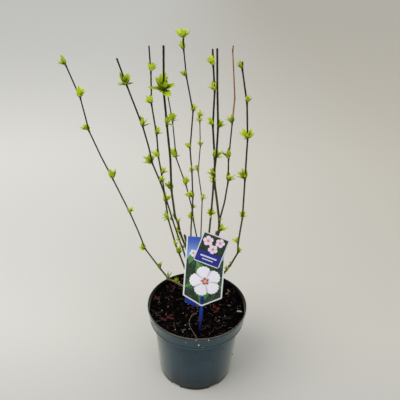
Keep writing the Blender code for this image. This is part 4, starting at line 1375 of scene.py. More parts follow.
def small_card_print(groups):
    """The small card: three blossoms on a dark ground, over a blue band with two plain bars."""
    material, tree, shader, place = new_finish("small_card_print")
    spot = label_map(tree, place, small_card_place())
    x, y, z = parted(tree, spot)
    picture = printed_hedge(tree, spot, 260.0, SMALL_HEDGE_TONES)
    for middle, radius, turn in SMALL_BLOSSOMS:
        picture = printed_blossom(tree, groups, spot, picture, middle, radius, turn, SMALL_PETALS)
    band = step_up(tree, y, *(-SMALL_CARD_LENGTH * share for share in BAND_SHARES))
    picture = tint(tree, band, picture, SMALL_BAND_TONE)
    half = SMALL_CARD_WIDTH / 2
    aside = maths(tree, "ABSOLUTE", maths(tree, "SUBTRACT", x, half))
    for height, half_length, half_width in SMALL_CARD_BARS:
        off = maths(tree, "ABSOLUTE", maths(tree, "SUBTRACT", y, height))
        within_width = maths(tree, "LESS_THAN", off, half_width)
        bar = times(tree, within_width, maths(tree, "LESS_THAN", aside, half_length))
        picture = tint(tree, bar, picture, SMALL_BAR_TONE)
    from_side = maths(tree, "SUBTRACT", half, aside)
    inset = maths(tree, "MINIMUM", from_side, times(tree, y, -1.0))
    inset = maths(tree, "MINIMUM", inset, maths(tree, "ADD", y, SMALL_CARD_LENGTH))
    picture = bordered(tree, picture, inset, SMALL_CARD_BORDER, SMALL_BORDER_TONE)
    colour = faced(tree, picture, z, SMALL_CARD_THICKNESS, SMALL_BACK_TONE)
    label_skin(tree, shader, groups, place, colour)
    return material


def label_skin(tree, shader, groups, place, colour):
    """A laminated skin over the print, a little dusty and faintly wavy."""
    dust = use(tree, groups["dust"], place=place, lying=0.25, specks=0.35)["Mask"]
    dulled = tint(tree, dust, colour, LABEL_DUST_TONE)
    rough = maths(tree, "MULTIPLY_ADD", dust, 0.4, 0.30)
    finish(tree, shader, dulled, rough, cloud(tree, place, 120.0, 2.0), 0.0003)


def stake_plastic(groups):
    """Glossy blue plastic, dusty where it stands in the compost, with painted shade darker towards its foot.
    """
    material, tree, shader, place = new_finish("blue_stake_plastic", 0.15)
    base = mottled(tree, groups, place, 90.0, STAKE_TONES, 0.15)
    height = parted(tree, place)[2]
    # Painted shade: darker towards the foot
    low = step_up(tree, height, *STAKE_SHADE_HEIGHTS, 0.0, 0.95)
    stake_shaded = tint(tree, low, base["Colour"], STAKE_LOW_SHADE_TONE)
    patches = step_up(tree, cloud(tree, place, 420.0, 3.0), 0.40, 0.60, 0.0, 0.8)
    soiled = times(tree, step_up(tree, height, *STAKE_SOILED_HEIGHTS), patches)
    dust = use(tree, groups["dust"], place=place, lying=0.4, specks=0.4)["Mask"]
    colour = tint(tree, soiled, tint(tree, dust, stake_shaded, STAKE_DUST_TONE), STAKE_SOIL_TONE)
    rough = maths(tree, "MULTIPLY_ADD", maths(tree, "MAXIMUM", soiled, dust), 0.45, 0.28)
    finish(tree, shader, colour, rough, cloud(tree, place, 1400.0, 2.0), 0.00005)
    return material


# POT


def pot_profile():
    """The pot's section from the middle of its floor over the rim to the middle of its underside."""
    shoulder = COLLAR_FOOT_HEIGHT - SHOULDER_DROP
    lip_foot = POT_HEIGHT - LIP_HEIGHT
    bead = COLLAR_FOOT_RADIUS + COLLAR_BEAD
    bead_foot, bead_head = (COLLAR_FOOT_HEIGHT + height for height in BEAD_HEIGHTS)
    return softened([
        (0, WALL, 0),
        (BASE_RADIUS - WALL, WALL, 0.0030),
        (SHOULDER_RADIUS - WALL, shoulder + WALL, 0.0020),
        (COLLAR_FOOT_RADIUS - WALL, COLLAR_FOOT_HEIGHT + WALL, 0.0012),
        (RIM_RADIUS - LIP_STEP - WALL, POT_HEIGHT, 0.0006),
        (RIM_RADIUS, POT_HEIGHT, 0.0008),
        (RIM_RADIUS, lip_foot, 0.0004),
        (RIM_RADIUS - LIP_STEP, lip_foot - LIP_STEP, 0.0004),
        (bead - COLLAR_BEAD * BEAD_EASE, bead_head, 0.0006),
        (bead, bead_foot, 0.0004),
        (bead, COLLAR_FOOT_HEIGHT, 0.0005),
        (COLLAR_FOOT_RADIUS - LIP_STEP, COLLAR_FOOT_HEIGHT - LIP_STEP, 0.0003),
        (SHOULDER_RADIUS, shoulder, 0.0016),
        (BASE_RADIUS, BASE_CHAMFER, 0.0010),
        (BASE_RADIUS - BASE_CHAMFER, 0, 0.0005),
        (BASE_HOLLOW_RADIUS, 0, 0.0004),
        (BASE_HOLLOW_RADIUS - BASE_HOLLOW_SLOPE, BASE_HOLLOW, 0.0004),
        (0, BASE_HOLLOW, 0),
    ])


def recess_block(wall):
    """The solid that a drainage recess takes up, larger by wall on its sides, top and inner end."""
    work = bmesh.new()
    bmesh.ops.create_cube(work, size=1)
    for vertex in work.verts:
        narrowing = RECESS_NARROWING if vertex.co.z > 0 else 1
        vertex.co.y *= (RECESS_WIDTH + 2 * wall) * narrowing
        outer = BASE_RADIUS - WALL / 2 if wall else BASE_RADIUS + WALL
        vertex.co.x = outer if vertex.co.x > 0 else RECESS_INNER_RADIUS - wall
        foot = WALL / 2 if wall else -WALL
        vertex.co.z = RECESS_HEIGHT + wall if vertex.co.z > 0 else foot
    upper = [edge for edge in work.edges if max(vertex.co.z for vertex in edge.verts) > RECESS_HEIGHT / 2]
    round_edges(work, upper, RECESS_ROUNDING, RECESS_ROUND_STEPS)
    return work


def drain_hole():
    """The cutter for a drainage hole in a recess's roof."""
    work = bmesh.new()
    place = Matrix.Translation(((RECESS_INNER_RADIUS + BASE_RADIUS) / 2, 0, RECESS_HEIGHT))
    bmesh.ops.create_cone(
        work, cap_ends=True, segments=DRAIN_SIDES, radius1=DRAIN_RADIUS, radius2=DRAIN_RADIUS, depth=4 * WALL,
        matrix=place,
    )
    return work


def loose_object(work, name):
    """Ends a shape as an object that is no piece of the plant."""
    mesh = bpy.data.meshes.new(name)
    work.to_mesh(mesh)
    work.free()
    piece = bpy.data.objects.new(name, mesh)
    bpy.context.scene.collection.objects.link(piece)
    return piece


def all_round(work):
    """Repeats a shape once for each recess, evenly turned about Z."""
    single = bpy.data.meshes.new("single")
    work.to_mesh(single)
    for _ in range(RECESS_COUNT - 1):
        single.transform(Matrix.Rotation(math.tau / RECESS_COUNT, 4, "Z"))
        work.from_mesh(single)
    bpy.data.meshes.remove(single)
    return work


def carved(work, cutters):
    """The shape with (operation, cutter) pairs carried out on it."""
    body = loose_object(work, "body")
    tools = []
    for operation, cutter in cutters:
        tool = loose_object(cutter, "tool")
        modifier = body.modifiers.new(operation, "BOOLEAN")
        modifier.operation = operation
        modifier.object = tool
        tools.append(tool)
    bpy.context.view_layer.update()
    finished = body.evaluated_get(bpy.context.evaluated_depsgraph_get())
    mesh = bpy.data.meshes.new_from_object(finished)
    result = bmesh.new()
    result.from_mesh(mesh)
    for spare in tools + [body]:
        bpy.data.objects.remove(spare)
    return result


def make_pot(groups):
    """The pot with its recesses moulded in and its drainage holes."""
    work = carved(spun(pot_profile(), POT_STEPS), [
        ("UNION", all_round(recess_block(WALL))),
        ("DIFFERENCE", all_round(recess_block(0))),
        ("DIFFERENCE", all_round(drain_hole())),
    ])
    add_piece("nursery_pot", work, ["pot"], [pot_plastic(groups)], angle=35)


# COMPOST


def compost_height(x, y):
    """The compost's surface: lumps, crumbs and grit, a mound at the trunk, and its edge along the wall."""
    place = Vector((x, y, 0))
    radius = place.length
    height = SOIL_LEVEL + SOIL_SWELL * noise.noise(place / SOIL_SWELL_SIZE)
    height += SOIL_MOUND * math.exp(-(radius / SOIL_MOUND_RADIUS) ** 2)
    wall = inner_radius(SOIL_LEVEL) - radius
    height -= SOIL_SINK * math.exp(-max(wall, 0) / SOIL_SINK_WIDTH)
    behind = min(max((y - SOIL_HEAP_FROM) / SOIL_HEAP_RUN, 0), 1)
    height += SOIL_HEAP * behind * math.exp(-max(wall, 0) / SOIL_HEAP_WIDTH)
    crumb = noise.voronoi(place / SOIL_CRUMB_SIZE)[0][0]
    height += SOIL_CRUMB * (0.5 - crumb)
    return height + SOIL_GRIT * noise.turbulence(place / SOIL_GRIT_SIZE, 3, True)


def make_soil(groups):
    """The compost that fills the pot, its surface in relief."""
    edge = inner_radius(SOIL_LEVEL) - CLEARANCE
    profile = [(float(radius), SOIL_LEVEL) for radius in np.linspace(0, edge, SOIL_RINGS + 1)]
    for radius, height in reversed(inner_wall()[:3]):
        profile.append((radius - CLEARANCE, max(height + CLEARANCE, SOIL_FOOT)))
    profile.append((0, SOIL_FOOT))
    work = spun(profile, SOIL_STEPS)
    for vertex in work.verts:
        if vertex.co.z > SOIL_LEVEL - WELD:
            vertex.co.z = compost_height(vertex.co.x, vertex.co.y)
    material = compost_soil(groups, "compost_peat", PEAT_TONES)
    add_piece("compost", work, ["soil"], [material], angle=80)


def crumb_shape(dice):
    """A small lump of compost, uneven and a little flattened."""
    work = bmesh.new()
    bmesh.ops.create_icosphere(work, subdivisions=1, radius=1)
    for vertex in work.verts:
        vertex.co *= dice.uniform(*CRUMB_UNEVEN)
        vertex.co.z *= CRUMB_FLATNESS
    return work


def chip_shape(dice):
    """A flat splinter of bark, wider at one end, its corners broken off."""
    work = bmesh.new()
    bmesh.ops.create_cube(work, size=1)
    for vertex in work.verts:
        vertex.co.y *= CHIP_TAPER if vertex.co.x > 0 else 1
        vertex.co += Vector([dice.uniform(-CHIP_UNEVEN, CHIP_UNEVEN) for _ in range(3)])
    round_edges(work, work.edges[:], CHIP_BEVEL, 1)
    return work


def shapes_of(maker, dice, count):
    """Ready meshes of a small shape, to be strewn many times."""
    shapes = []
    for _ in range(count):
        work = maker(dice)
        mesh = bpy.data.meshes.new("shape")
        work.to_mesh(mesh)
        work.free()
        shapes.append(mesh)
    return shapes


def strew(work, shape, place, turn, size):
    """Adds a ready shape at a place, turned and sized."""
    matrix = Matrix.Translation(place) @ turn.to_matrix().to_4x4() @ Matrix.Diagonal((*size, 1))
    shape.transform(matrix)
    work.from_mesh(shape)
    shape.transform(matrix.inverted())


def bed_spot(dice):
    """A place on the compost, clear of the trunk and the stake."""
    reach = inner_radius(SOIL_LEVEL) - BED_EDGE
    (trunk_x, trunk_y, _), trunk_radius = TRUNK[0]
    while True:
        x, y = dice.uniform(-reach, reach), dice.uniform(-reach, reach)
        off_trunk = math.hypot(x - trunk_x, y - trunk_y) > trunk_radius * TRUNK_REACH
        off_stake = abs(x - STAKE_AT_SOIL[0]) > STAKE_WIDTH or abs(y - STAKE_AT_SOIL[1]) > STAKE_WIDTH / 2
        if math.hypot(x, y) < reach and off_trunk and off_stake:
            return x, y


def on_bed(x, y, lift):
    """The place at a height above the compost."""
    return x, y, compost_height(x, y) + lift


def any_turn(dice, tip=math.pi):
    """A turn to any heading, tipped by no more than an angle."""
    return Euler((dice.uniform(-tip, tip), dice.uniform(-tip, tip), dice.uniform(-math.pi, math.pi)))


def add_strand(work, spine, easing, sides):
    """A thin strand through (point, radius) pairs, its bends eased."""
    rolled_tube(work, eased(resampled(spine, STRAND_SPACING), easing), sides)


def make_crumbs(groups):
    """Crumbs of compost, strewn over it and clinging to the pot."""
    dice = random.Random(LITTER_SEED)
    shapes = shapes_of(crumb_shape, dice, CRUMB_SHAPES)
    dark, brown = bmesh.new(), bmesh.new()
    for _ in range(CRUMB_COUNT):
        x, y = bed_spot(dice)
        size = dice.uniform(*CRUMB_SIZES) * dice.uniform(*CRUMB_SHRINKING)
        place = on_bed(x, y, size * CRUMB_SEAT)
        work = brown if dice.random() < BROWN_CRUMB_SHARE else dark
        strew(work, dice.choice(shapes), place, any_turn(dice), (size, size, size))
    for angle, height, size in CLINGING_CRUMBS:
        strew(dark, shapes[0], on_pot(angle, height, size), any_turn(dice), (size, size, size))
    radius = CLINGING_STRAND_RADIUS
    strand = [(Vector(on_pot(angle, height, radius * 2)), radius) for angle, height in CLINGING_STRAND]
    add_strand(dark, strand, 2, 5)
    for name, work, tones in (("dark", dark, DARK_CRUMB_TONES), ("brown", brown, BROWN_CRUMB_TONES)):
        material = compost_soil(groups, f"crumb_{name}", tones)
        add_piece(f"{name}_crumbs", work, [], [material], angle=60)


def on_pot(angle, height, size):
    """The place of a speck on the outside of the pot, at an angle in degrees and a height."""
    lip_foot = POT_HEIGHT - LIP_HEIGHT
    heights = (0, COLLAR_FOOT_HEIGHT - SHOULDER_DROP, COLLAR_FOOT_HEIGHT, lip_foot - LIP_STEP, lip_foot)
    radii = (BASE_RADIUS, SHOULDER_RADIUS, COLLAR_FOOT_RADIUS, RIM_RADIUS - LIP_STEP, RIM_RADIUS)
    radius = float(np.interp(height, heights, radii)) + size * SPECK_SEAT
    return radius * math.cos(math.radians(angle)), radius * math.sin(math.radians(angle)), height


def make_chips(groups):
    """Chips of bark on the compost, and white grit there and on the pot."""
    dice = random.Random(LITTER_SEED + 1)
    shapes = shapes_of(chip_shape, dice, CHIP_SHAPES)
    works = {kind: bmesh.new() for kind in CHIP_TONES}
    for _ in range(CHIP_COUNT):
        x, y = bed_spot(dice)
        length = dice.uniform(*CHIP_LENGTHS) * dice.uniform(*CHIP_SHRINKING)
        width, depth = length * dice.uniform(*CHIP_WIDTHS), length * dice.uniform(*CHIP_DEPTHS)
        drift = noise.noise(Vector((x, y, 0.5)) / CHIP_DRIFT_SIZE) > 0
        kind = dice.choices(CHIP_KINDS, DRIFT_SHARES if drift else CHIP_SHARES)[0]
        place = on_bed(x, y, depth / 2)
        strew(works[kind], dice.choice(shapes), place, any_turn(dice, CHIP_TIP), (length, width, depth))
    for x, y, length, width, heading, kind in LARGE_CHIPS:
        turn = Euler((*(dice.uniform(-tip, tip) for tip in LARGE_CHIP_TIPS), math.radians(heading)))
        size = (length, width, LARGE_CHIP_DEPTH)
        strew(works[kind], dice.choice(shapes), on_bed(x, y, LARGE_CHIP_LIFT), turn, size)
    for _ in range(GRIT_COUNT):
        x, y = bed_spot(dice)
        size = dice.uniform(*GRIT_SIZES)
        strew(works["pale"], dice.choice(shapes), on_bed(x, y, size), any_turn(dice), (size * 2, size, size))
    for angle, height, size in WHITE_SPECKS:
        stretched = [size * share for share in SPECK_STRETCH]
        strew(works["pale"], shapes[0], on_pot(angle, height, size), any_turn(dice), stretched)
    for kind, work in works.items():
        material = bark_chip(groups, f"chip_{kind}", CHIP_TONES[kind])
        add_piece(f"{kind}_chips", work, [], [material], angle=25)


def make_fibres(groups):
    """Thin strands of wood fibre on the compost, and the dry root that hangs over the rim."""
    dice = random.Random(LITTER_SEED + 2)
    reach = inner_radius(SOIL_LEVEL) - FIBRE_EDGE
    work = bmesh.new()
    for _ in range(FIBRE_COUNT):
        x, y = bed_spot(dice)
        heading, length = dice.uniform(0, math.tau), dice.uniform(*FIBRE_LENGTHS)
        bow = dice.uniform(-FIBRE_BOW, FIBRE_BOW)
        spine = []
        for share in FIBRE_SHARES:
            angle = heading + bow * share * 2
            point_x, point_y = x + math.cos(angle) * share * length, y + math.sin(angle) * share * length
            if math.hypot(point_x, point_y) < reach:
                spine.append((Vector(on_bed(point_x, point_y, dice.uniform(*FIBRE_LIFTS))), FIBRE_RADIUS))
        if len(spine) > 2:
            add_strand(work, spine, 2, 4)
    thick, thin = DRY_ROOT_RADII
    spine = []
    for index, (x, y, lift) in enumerate(DRY_ROOT):
        base = compost_height(x, y) if math.hypot(x, y) < COLLAR_FOOT_RADIUS - 2 * WALL else SOIL_LEVEL
        spine.append((Vector((x, y, base + lift)), thick + (thin - thick) * index / (len(DRY_ROOT) - 1)))
    add_strand(work, spine, 6, 6)
    add_piece("dry_fibres", work, [], [bark_chip(groups, "dry_fibre", FIBRE_TONES)], angle=60)


# LIMBS


def around(angle, along, size):
    """The place in a noise on a limb's surface, by the noise's size round the limb and along it."""
    width, length = size
    return Vector((math.cos(angle) * width, math.sin(angle) * width, along / length))


def bark_relief(angle, along, radius):
    """Grooves that run up a limb, and its slow swellings."""
    place = around(angle, along, GROOVE_SIZE)
    coarse, fine = (noise.noise(place * fineness) for fineness in GROOVE_FINENESS)
    swell = noise.noise(around(angle, along, SWELL_SIZE))
    return radius * (BARK_GROOVE * (coarse - FINE_GROOVE * abs(fine)) + BARK_SWELL * swell)


def root_flare(angle, along, radius):
    """The trunk's foot spreads in a few lobes where its roots set off."""
    lobes = sum(share * math.cos(count * angle + turn) for share, count, turn in ROOT_LOBES)
    return bark_relief(angle, along, radius) + radius * lobes * math.exp(-along / FLARE_LENGTH)


def branch_collar(angle, along, radius):
    """A bough is thicker where it leaves the trunk."""
    return bark_relief(angle, along, radius) + radius * COLLAR_FLARE * math.exp(-along / FLARE_LENGTH)


def make_limbs(groups):
    """The trunk and the boughs, in bark and with a pruning cut at the top."""
    bark, cut = old_bark(groups), cut_wood(groups)
    for name, spine in LIMBS.items():
        fine = eased(resampled(spine, LIMB_SPACING), LIMB_EASING)
        end = pruned_end(fine, LIMB_CUT_SLANT)
        if name == "trunk":
            foot = Vector(spine[0][0]) - Vector((0, 0, TRUNK_BURIED))
            start, relief = [(foot, 0), (foot, spine[0][1] * TRUNK_FOOT_SHARE)], root_flare
        else:
            start, relief = [(fine[0][0], 0)], branch_collar
        finishes = [0] * (len(start) + len(fine) + 1) + [1] * (len(end) - 1)
        work = bmesh.new()
        rolled_tube(work, start + fine + end, LIMB_ROUND, relief, finishes)
        bmesh.ops.recalc_face_normals(work, faces=work.faces)
        add_piece(f"bark_{name}", work, [name], [bark, cut], angle=70)


# CANES


def cane_relief(angle, along, radius):
    """Fine unevenness of a young stem."""
    return radius * CANE_UNEVEN * noise.noise(around(angle, along, (1, CANE_UNEVEN_LENGTH)))


def bark_radius(point, radius):
    """The stem's radius with its bark, which is thicker near the compost."""
    high, low = CANE_FOOT_HEIGHTS
    foot = min(1, max(0, (high - point.z) / (high - low)))
    return radius * (CANE_BARK + CANE_FOOT_BARK * foot) + BARK_DEPTH


def stem_stations(stem):
    """Close stations up a stem, and for each the finish it has: live bark, dead wood or pruning cut."""
    spine = [(Vector(point), radius) for point, radius in stem_spine(stem)]
    fine = eased(resampled(spine, STEM_SPACING), CANE_EASING)
    last_tuft = stem["tufts"][-1][0]
    last_leaves = [distance for distance, _, longest in stem["tufts"] if longest][-1]
    along, finishes = 0, []
    for index, (point, _) in enumerate(fine):
        along += (point - fine[max(index - 1, 0)][0]).length
        finishes.append(DEAD if last_leaves + DEAD_AFTER < along < last_tuft else LIVE)
    end = pruned_end(fine, CANE_CUT_SLANT)
    bare = stem_joints(stem)[1] - last_tuft > KNUCKLE_LENGTH * 2
    finishes += [finishes[-1]] + [CUT if bare else LIVE] * (len(end) - 1)
    return fine + end, finishes


def add_spur(work, root, heading, length):
    """A short side shoot, ringed by bud scars, that a tuft grows from."""
    foot = root - heading * SPUR_SUNK
    stations = [(foot, 0), (foot, SPUR_RADIUS * SPUR_FOOT)]
    for ring in range(SPUR_RINGS):
        share = (ring + 1) / SPUR_RINGS
        radius = SPUR_RADIUS * SPUR_SWELLS[ring % 2] * (1 - SPUR_TAPER * share)
        stations.append((root + heading * length * share, radius))
    tip = root + heading * length * SPUR_REACH
    tip_width, tip_height = SPUR_TIP
    stations += [(tip, SPUR_RADIUS * tip_width), (tip + heading * SPUR_RADIUS * tip_height, 0)]
    rolled_tube(work, stations, 6)


def add_scale(work, root, direction, outward, length):
    """A small bud scale that clasps the foot of a tuft."""
    across = direction.cross(outward).normalized()
    grid = bmesh.ops.create_grid(work, x_segments=3, y_segments=2, size=0.5, calc_uvs=True)
    for vertex in grid["verts"]:
        share, side = vertex.co.x + 0.5, vertex.co.y * 2
        width = length * SCALE_WIDTH * (1 - share) ** SCALE_TAPER
        cup = abs(side) * width * SCALE_CUP
        vertex.co = (
            root + direction * share * length + across * side * width
            + outward * (length * (SCALE_LIFT + SCALE_CURL * share * share) - cup)
        )


def add_thread(work, root, direction, outward, length, dice):
    """A stipule: a fine green thread beside a leaf's foot."""
    stray = THREAD_STRAY
    bow = outward * dice.uniform(*THREAD_BOWS) + Vector([dice.uniform(-stray, stray) for _ in range(3)])
    stations = []
    for step in range(THREAD_STEPS + 1):
        share = step / THREAD_STEPS
        point = root + direction * share * length + bow * share * share * length
        stations.append((point, THREAD_RADIUS * (1 - THREAD_TAPER * share)))
    rolled_tube(work, stations, 3)


def leaf_axes(direction, outward):
    """The way that a leaf's back faces, and the way across the leaf."""
    back = (outward - outward.dot(direction) * direction).normalized()
    return back, direction.cross(back)


def add_leaf(work, root, direction, outward, length, form):
    """A lobed young leaf on its stalk, folded along its midrib and curling outwards."""
    back, across = leaf_axes(direction, outward)
    curl, fold, twist, width, finish_index = form
    rows = len(LEAF_OUTLINE) - 1
    grid = bmesh.ops.create_grid(work, x_segments=rows, y_segments=LEAF_COLUMNS, size=0.5, calc_uvs=True)
    for vertex in grid["verts"]:
        share, half_width, reach = LEAF_OUTLINE[round((vertex.co.x + 0.5) * rows)]
        side = vertex.co.y * 2
        share += reach * side ** 2
        breadth = side * half_width * width
        turn = twist * share
        spread = across * math.cos(turn) + back * math.sin(turn)
        upward = back * math.cos(turn) - across * math.sin(turn)
        sag = curl * share * share * length
        lift = -abs(breadth) * math.sin(fold) * length
        wave = math.sin(share * LEAF_RIPPLE_WAVES + side * 2)
        ripple = LEAF_RIPPLE * wave * abs(side) * half_width * length
        vertex.co = (
            root + direction * share * length * (1 - LEAF_SHORTENING * curl * share)
            + spread * breadth * math.cos(fold) * length
            + upward * (lift + ripple) + back * sag
        )
    for face in {face for vertex in grid["verts"] for face in vertex.link_faces}:
        face.material_index = finish_index


def leaf_form(dice, finish_index):
    """A leaf's curl, fold, twist, width and finish."""
    return (
        dice.uniform(*LEAF_CURLS), math.radians(dice.uniform(*LEAF_FOLDS)),
        math.radians(dice.uniform(-LEAF_TWIST, LEAF_TWIST)), dice.uniform(*LEAF_WIDTHS), finish_index,
    )


def has_room(root, direction, outward, length, own_lines, other_lines, to_label):
    """True for a leaf nearer its own cane than any other limb all along, and clear of compost and label."""
    back, across = leaf_axes(direction, outward)
    corners = [root, root + direction * length + back * LEAF_CURL * length]
    for side in (-1, 1):
        corners.append(root + direction * length * LEAF_WAIST + across * side * LEAF_WIDTH / 2 * length)
    points = np.array([tuple(corner) for corner in corners])
    if points[:, 2].min() < SOIL_LEVEL + SOIL_RELIEF + LEAF_SPACE:
        return False
    own = np.min([nearest(points, line) for line in own_lines], axis=0)
    if any((nearest(points, line) < own + LEAF_SPACE).any() for line in other_lines):
        return False
    x, y, z = np.array([to_label @ corner for corner in corners]).T
    beside_card = (abs(x) < CARD_WIDTH / 2 + LABEL_SPACE) & (y < SMALL_CARD_CORNER[1] + LABEL_SPACE)
    beside_small_card = (x > 0) & (x < CARD_WIDTH) & (y < SMALL_CARD_CORNER[1])
    return not ((beside_card | beside_small_card) & (abs(z) < 2 * LABEL_SPACE)).any()


def make_cane(name, number, stems, lines, finishes):
    """A cane's stems, its spurs and buds, its stipules and its leaves, by the solids' seeded rule."""
    dice = random.Random(SEED + number)
    fancy = random.Random(SEED * 100 + number)
    own_lines = lines[name]
    other_lines = [line for other, group in lines.items() if other != name for line in group]
    to_label = label_place().inverted()
    wood, shoots, threads, leaves = bmesh.new(), bmesh.new(), bmesh.new(), bmesh.new()
    for work in (leaves, shoots):
        work.loops.layers.uv.new("UVMap")
    for stem in stems:
        stations, stem_finishes = stem_stations(stem)
        stations = [
            (point, bark_radius(point, radius) * (DEAD_SWELL if kind == DEAD else 1))
            for (point, radius), kind in zip(stations, stem_finishes)
        ]
        start = [(stations[0][0], 0)]
        rolled_tube(wood, start + stations, CANE_ROUND, cane_relief, [LIVE] + stem_finishes)
        add_tufts(stem, dice, fancy, (own_lines, other_lines, to_label), shoots, threads, leaves)
    bmesh.ops.recalc_face_normals(wood, faces=wood.faces)
    for kind, work in (("stem", wood), ("buds", shoots), ("stipules", threads), ("leaves", leaves)):
        add_piece(f"{kind}_{name}", work, [name], finishes[kind], angle=60)


def add_tufts(stem, dice, fancy, room, shoots, threads, leaves):
    """Each tuft: a spur with bud scales, the rule's leaves, finer ones between them and stipules."""
    placed = tuft_leaves(stem, dice)
    curve = smooth_course(stem["course"])
    joints = {round(distance, 6): point for distance, point, _ in stem_joints(stem)[0]}
    for distance, side, longest in stem["tufts"]:
        root = joints[round(distance, 6)]
        heading = point_along(curve, distance)[1]
        own = [leaf for leaf in placed if (leaf[0] - root).length < WELD]
        if own:
            aim = sum((leaf[1] for leaf in own), Vector()).normalized()
        else:
            aim = (heading + side_vector(math.radians(side), heading)).normalized()
        spur = SPUR_LENGTH * (longest / SPUR_LEAF if longest else BARE_SPUR)
        add_spur(shoots, root, aim, spur)
        crown = root + aim * spur * SPUR_ROOTING
        finish_index = fancy.choices(range(len(GREEN_SHARES)), GREEN_SHARES)[0]
        for leaf_root, direction, outward, length in own:
            if not has_room(leaf_root, direction, outward, length, *room):
                continue
            add_leaf(leaves, crown, direction, outward, length, leaf_form(fancy, finish_index))
            scale_root = root + aim * spur * SCALE_SEAT
            add_scale(shoots, scale_root, aim, outward, SCALE_LENGTH * fancy.uniform(*SCALE_SIZES))
            if fancy.random() < THREAD_SHARE:
                thread_length = length * fancy.uniform(*THREAD_LENGTHS)
                add_thread(threads, crown, direction, outward, thread_length, fancy)
            for _ in range(OPEN_FINER_COUNT if side is ALL else fancy.choice(FINER_COUNTS)):
                swing = Matrix.Rotation(fancy.uniform(-FINER_SWING, FINER_SWING), 3, heading)
                lean = fancy.uniform(*(OPEN_FINER_LEANS if side is ALL else FINER_LEANS))
                finer = (swing @ (direction * (1 - lean) + outward * lean)).normalized()
                finer_length = length * fancy.uniform(*FINER_LENGTHS)
                finer_out = swing @ outward
                if has_room(leaf_root, finer, finer_out, finer_length, *room):
                    add_leaf(leaves, crown, finer, finer_out, finer_length, leaf_form(fancy, finish_index))


def make_canes(groups):
    """All the canes, each of them clear of the others and of the trunk and boughs."""
    finishes = {
        "stem": [
            cane_bark(groups, "cane_bark", CANE_BARK_TONES),
            cane_bark(groups, "dead_cane_bark", DEAD_BARK_TONES),
            cut_wood(groups),
        ],
        "buds": [bud_scale(groups)],
        "stipules": [leaf_green(groups, "stipule_green", STIPULE_TONES)],
        "leaves": [leaf_green(groups, name, tones) for name, tones in LEAF_TONES.items()],
    }
    lines = {name: [np.array([point for point, _ in spine])] for name, spine in LIMBS.items()}
    for name, stems in CANES.items():
        lines[name] = [np.array([point for point, _ in stem_spine(stem)]) for stem in stems]
    for number, (name, stems) in enumerate(CANES.items()):
        make_cane(name, number, stems, lines, finishes)


# LABEL


def refined(node, rounding):
    """A copy of a solid's shape with its flat faces whole and its edges softened."""
    work = bmesh.new()
    work.from_mesh(bpy.data.objects[node].data)
    bmesh.ops.remove_doubles(work, verts=work.verts, dist=SOLID_WELD)
    bmesh.ops.dissolve_limit(work, angle_limit=FLAT_ANGLE, verts=work.verts, edges=work.edges)
    sharp = [edge for edge in work.edges if edge.calc_face_angle(0) > SHARP_ANGLE]
    round_edges(work, sharp, rounding, 2)
    return work


def small_card_place():
    """The small card's frame, from its upper left corner."""
    corner = Matrix.Translation((*SMALL_CARD_CORNER, CARD_THICKNESS + CLEARANCE))
    return label_place() @ corner @ Matrix.Rotation(-SMALL_CARD_TURN, 4, "Z")


def narrow_leg(work):
    """Narrows the stake's leg from the card's point down to the compost, and on below it."""
    place = label_place()
    upward = place.to_3x3() @ Vector((0, 1, 0))
    for step in range(LEG_STEPS + 1):
        middle = place @ Vector((0, LEG_NARROW_FROM * step / LEG_STEPS, 0))
        whole = work.verts[:] + work.edges[:] + work.faces[:]
        bmesh.ops.bisect_plane(work, geom=whole, plane_co=middle, plane_no=upward)
    flat = place.inverted()
    for vertex in work.verts:
        spot = flat @ vertex.co
        share = min(max(1 - spot.y / LEG_NARROW_FROM, 0), 1)
        spot.x *= 1 - LEG_NARROWING * share
        vertex.co = place @ spot


def make_label(groups):
    """The printed card, the smaller one in front of it and the stake."""
    card = refined("label_card", CARD_EDGES)
    add_piece("printed_card", card, ["label_card"], [card_print(groups)], angle=30)
    small = refined("label_small_card", SMALL_CARD_EDGES)
    material = small_card_print(groups)
    add_piece("printed_small_card", small, ["label_small_card"], [material], angle=30)
    stake = refined("label_stake", STAKE_EDGES)
    narrow_leg(stake)
    add_piece("blue_stake", stake, ["label_stake"], [stake_plastic(groups)], angle=30)


# STAGE


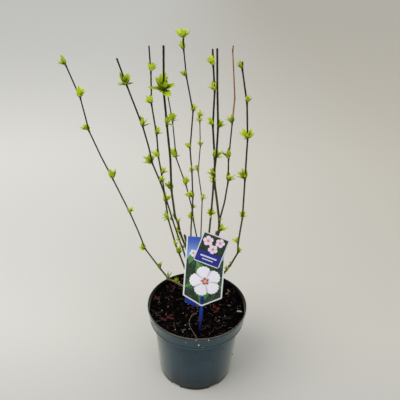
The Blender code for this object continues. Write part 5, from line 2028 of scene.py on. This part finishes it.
def make_floor():
    """A wide pale floor with painted light and shade: brighter behind the plant and duller to the right."""
    work = bmesh.new()
    bmesh.ops.create_circle(work, cap_ends=True, segments=FLOOR_SIDES, radius=FLOOR_RADIUS)
    floor = loose_object(work, "pale_floor")
    material, tree, shader, place = new_finish("floor_paper", 0.2)
    across, depth, _ = parted(tree, place)
    # Painted shade to the right and in front, painted light in the middle and far part
    right = step_up(tree, across, *FLOOR_TO_RIGHT)
    middle = tint(tree, right, FLOOR_MIDDLE, FLOOR_NEAR_RIGHT)
    near = tint(tree, step_up(tree, depth, *FLOOR_TO_MIDDLE), FLOOR_FRONT, middle)
    far = tint(tree, right, FLOOR_FAR, FLOOR_FAR_RIGHT)
    colour = tint(tree, step_up(tree, depth, *FLOOR_TO_FAR), near, far)
    finish(tree, shader, colour, 0.9, cloud(tree, place, 300.0, 2.0), 0.0002)
    floor.data.materials.append(material)


def add_light(name, place, size, power, colour):
    """A round lamp that shines on the plant."""
    data = bpy.data.lights.new(name, "AREA")
    data.shape = "DISK"
    data.size = size
    data.energy = power
    data.color = colour
    light = bpy.data.objects.new(name, data)
    light.location = place
    light.rotation_euler = (Vector(LIGHT_TARGET) - Vector(place)).to_track_quat("-Z", "Y").to_euler()
    bpy.context.scene.collection.objects.link(light)


def light_studio():
    """The lamps, the light from all round, and plain display of colours."""
    for lamp in LIGHTS:
        add_light(*lamp)
    world = bpy.data.worlds.new("studio")
    world.use_nodes = True
    background = world.node_tree.nodes["Background"]
    background.inputs["Color"].default_value = (*WORLD_COLOUR, 1)
    background.inputs["Strength"].default_value = WORLD_STRENGTH
    scene = bpy.context.scene
    scene.world = world
    scene.view_settings.view_transform = "Standard"
    scene.view_settings.look = "None"


def make_camera():
    """The camera, from where the photo was taken."""
    data = bpy.data.cameras.new("camera")
    data.sensor_width = CAMERA_SENSOR
    data.lens = CAMERA_LENS
    data.clip_start = CAMERA_NEAREST
    camera = bpy.data.objects.new("camera", data)
    tilt = Matrix.Rotation(math.radians(90) - CAMERA_DOWN, 4, "X")
    camera.matrix_world = Matrix.Translation(CAMERA_PLACE) @ tilt @ Matrix.Rotation(CAMERA_ROLL, 4, "Z")
    bpy.context.scene.collection.objects.link(camera)
    bpy.context.scene.camera = camera


def main():
    """Builds the stage, then the pot and all that it holds."""
    groups = {
        "mottle": mottle_group(),
        "grain": grain_group(),
        "dust": dust_group(),
        "veins": vein_group(),
        "blossom": blossom_group(),
        "printed_leaf": printed_leaf_group(),
    }
    make_camera()
    light_studio()
    make_floor()
    make_pot(groups)
    make_soil(groups)
    make_crumbs(groups)
    make_chips(groups)
    make_fibres(groups)
    make_limbs(groups)
    make_canes(groups)
    make_label(groups)


main()
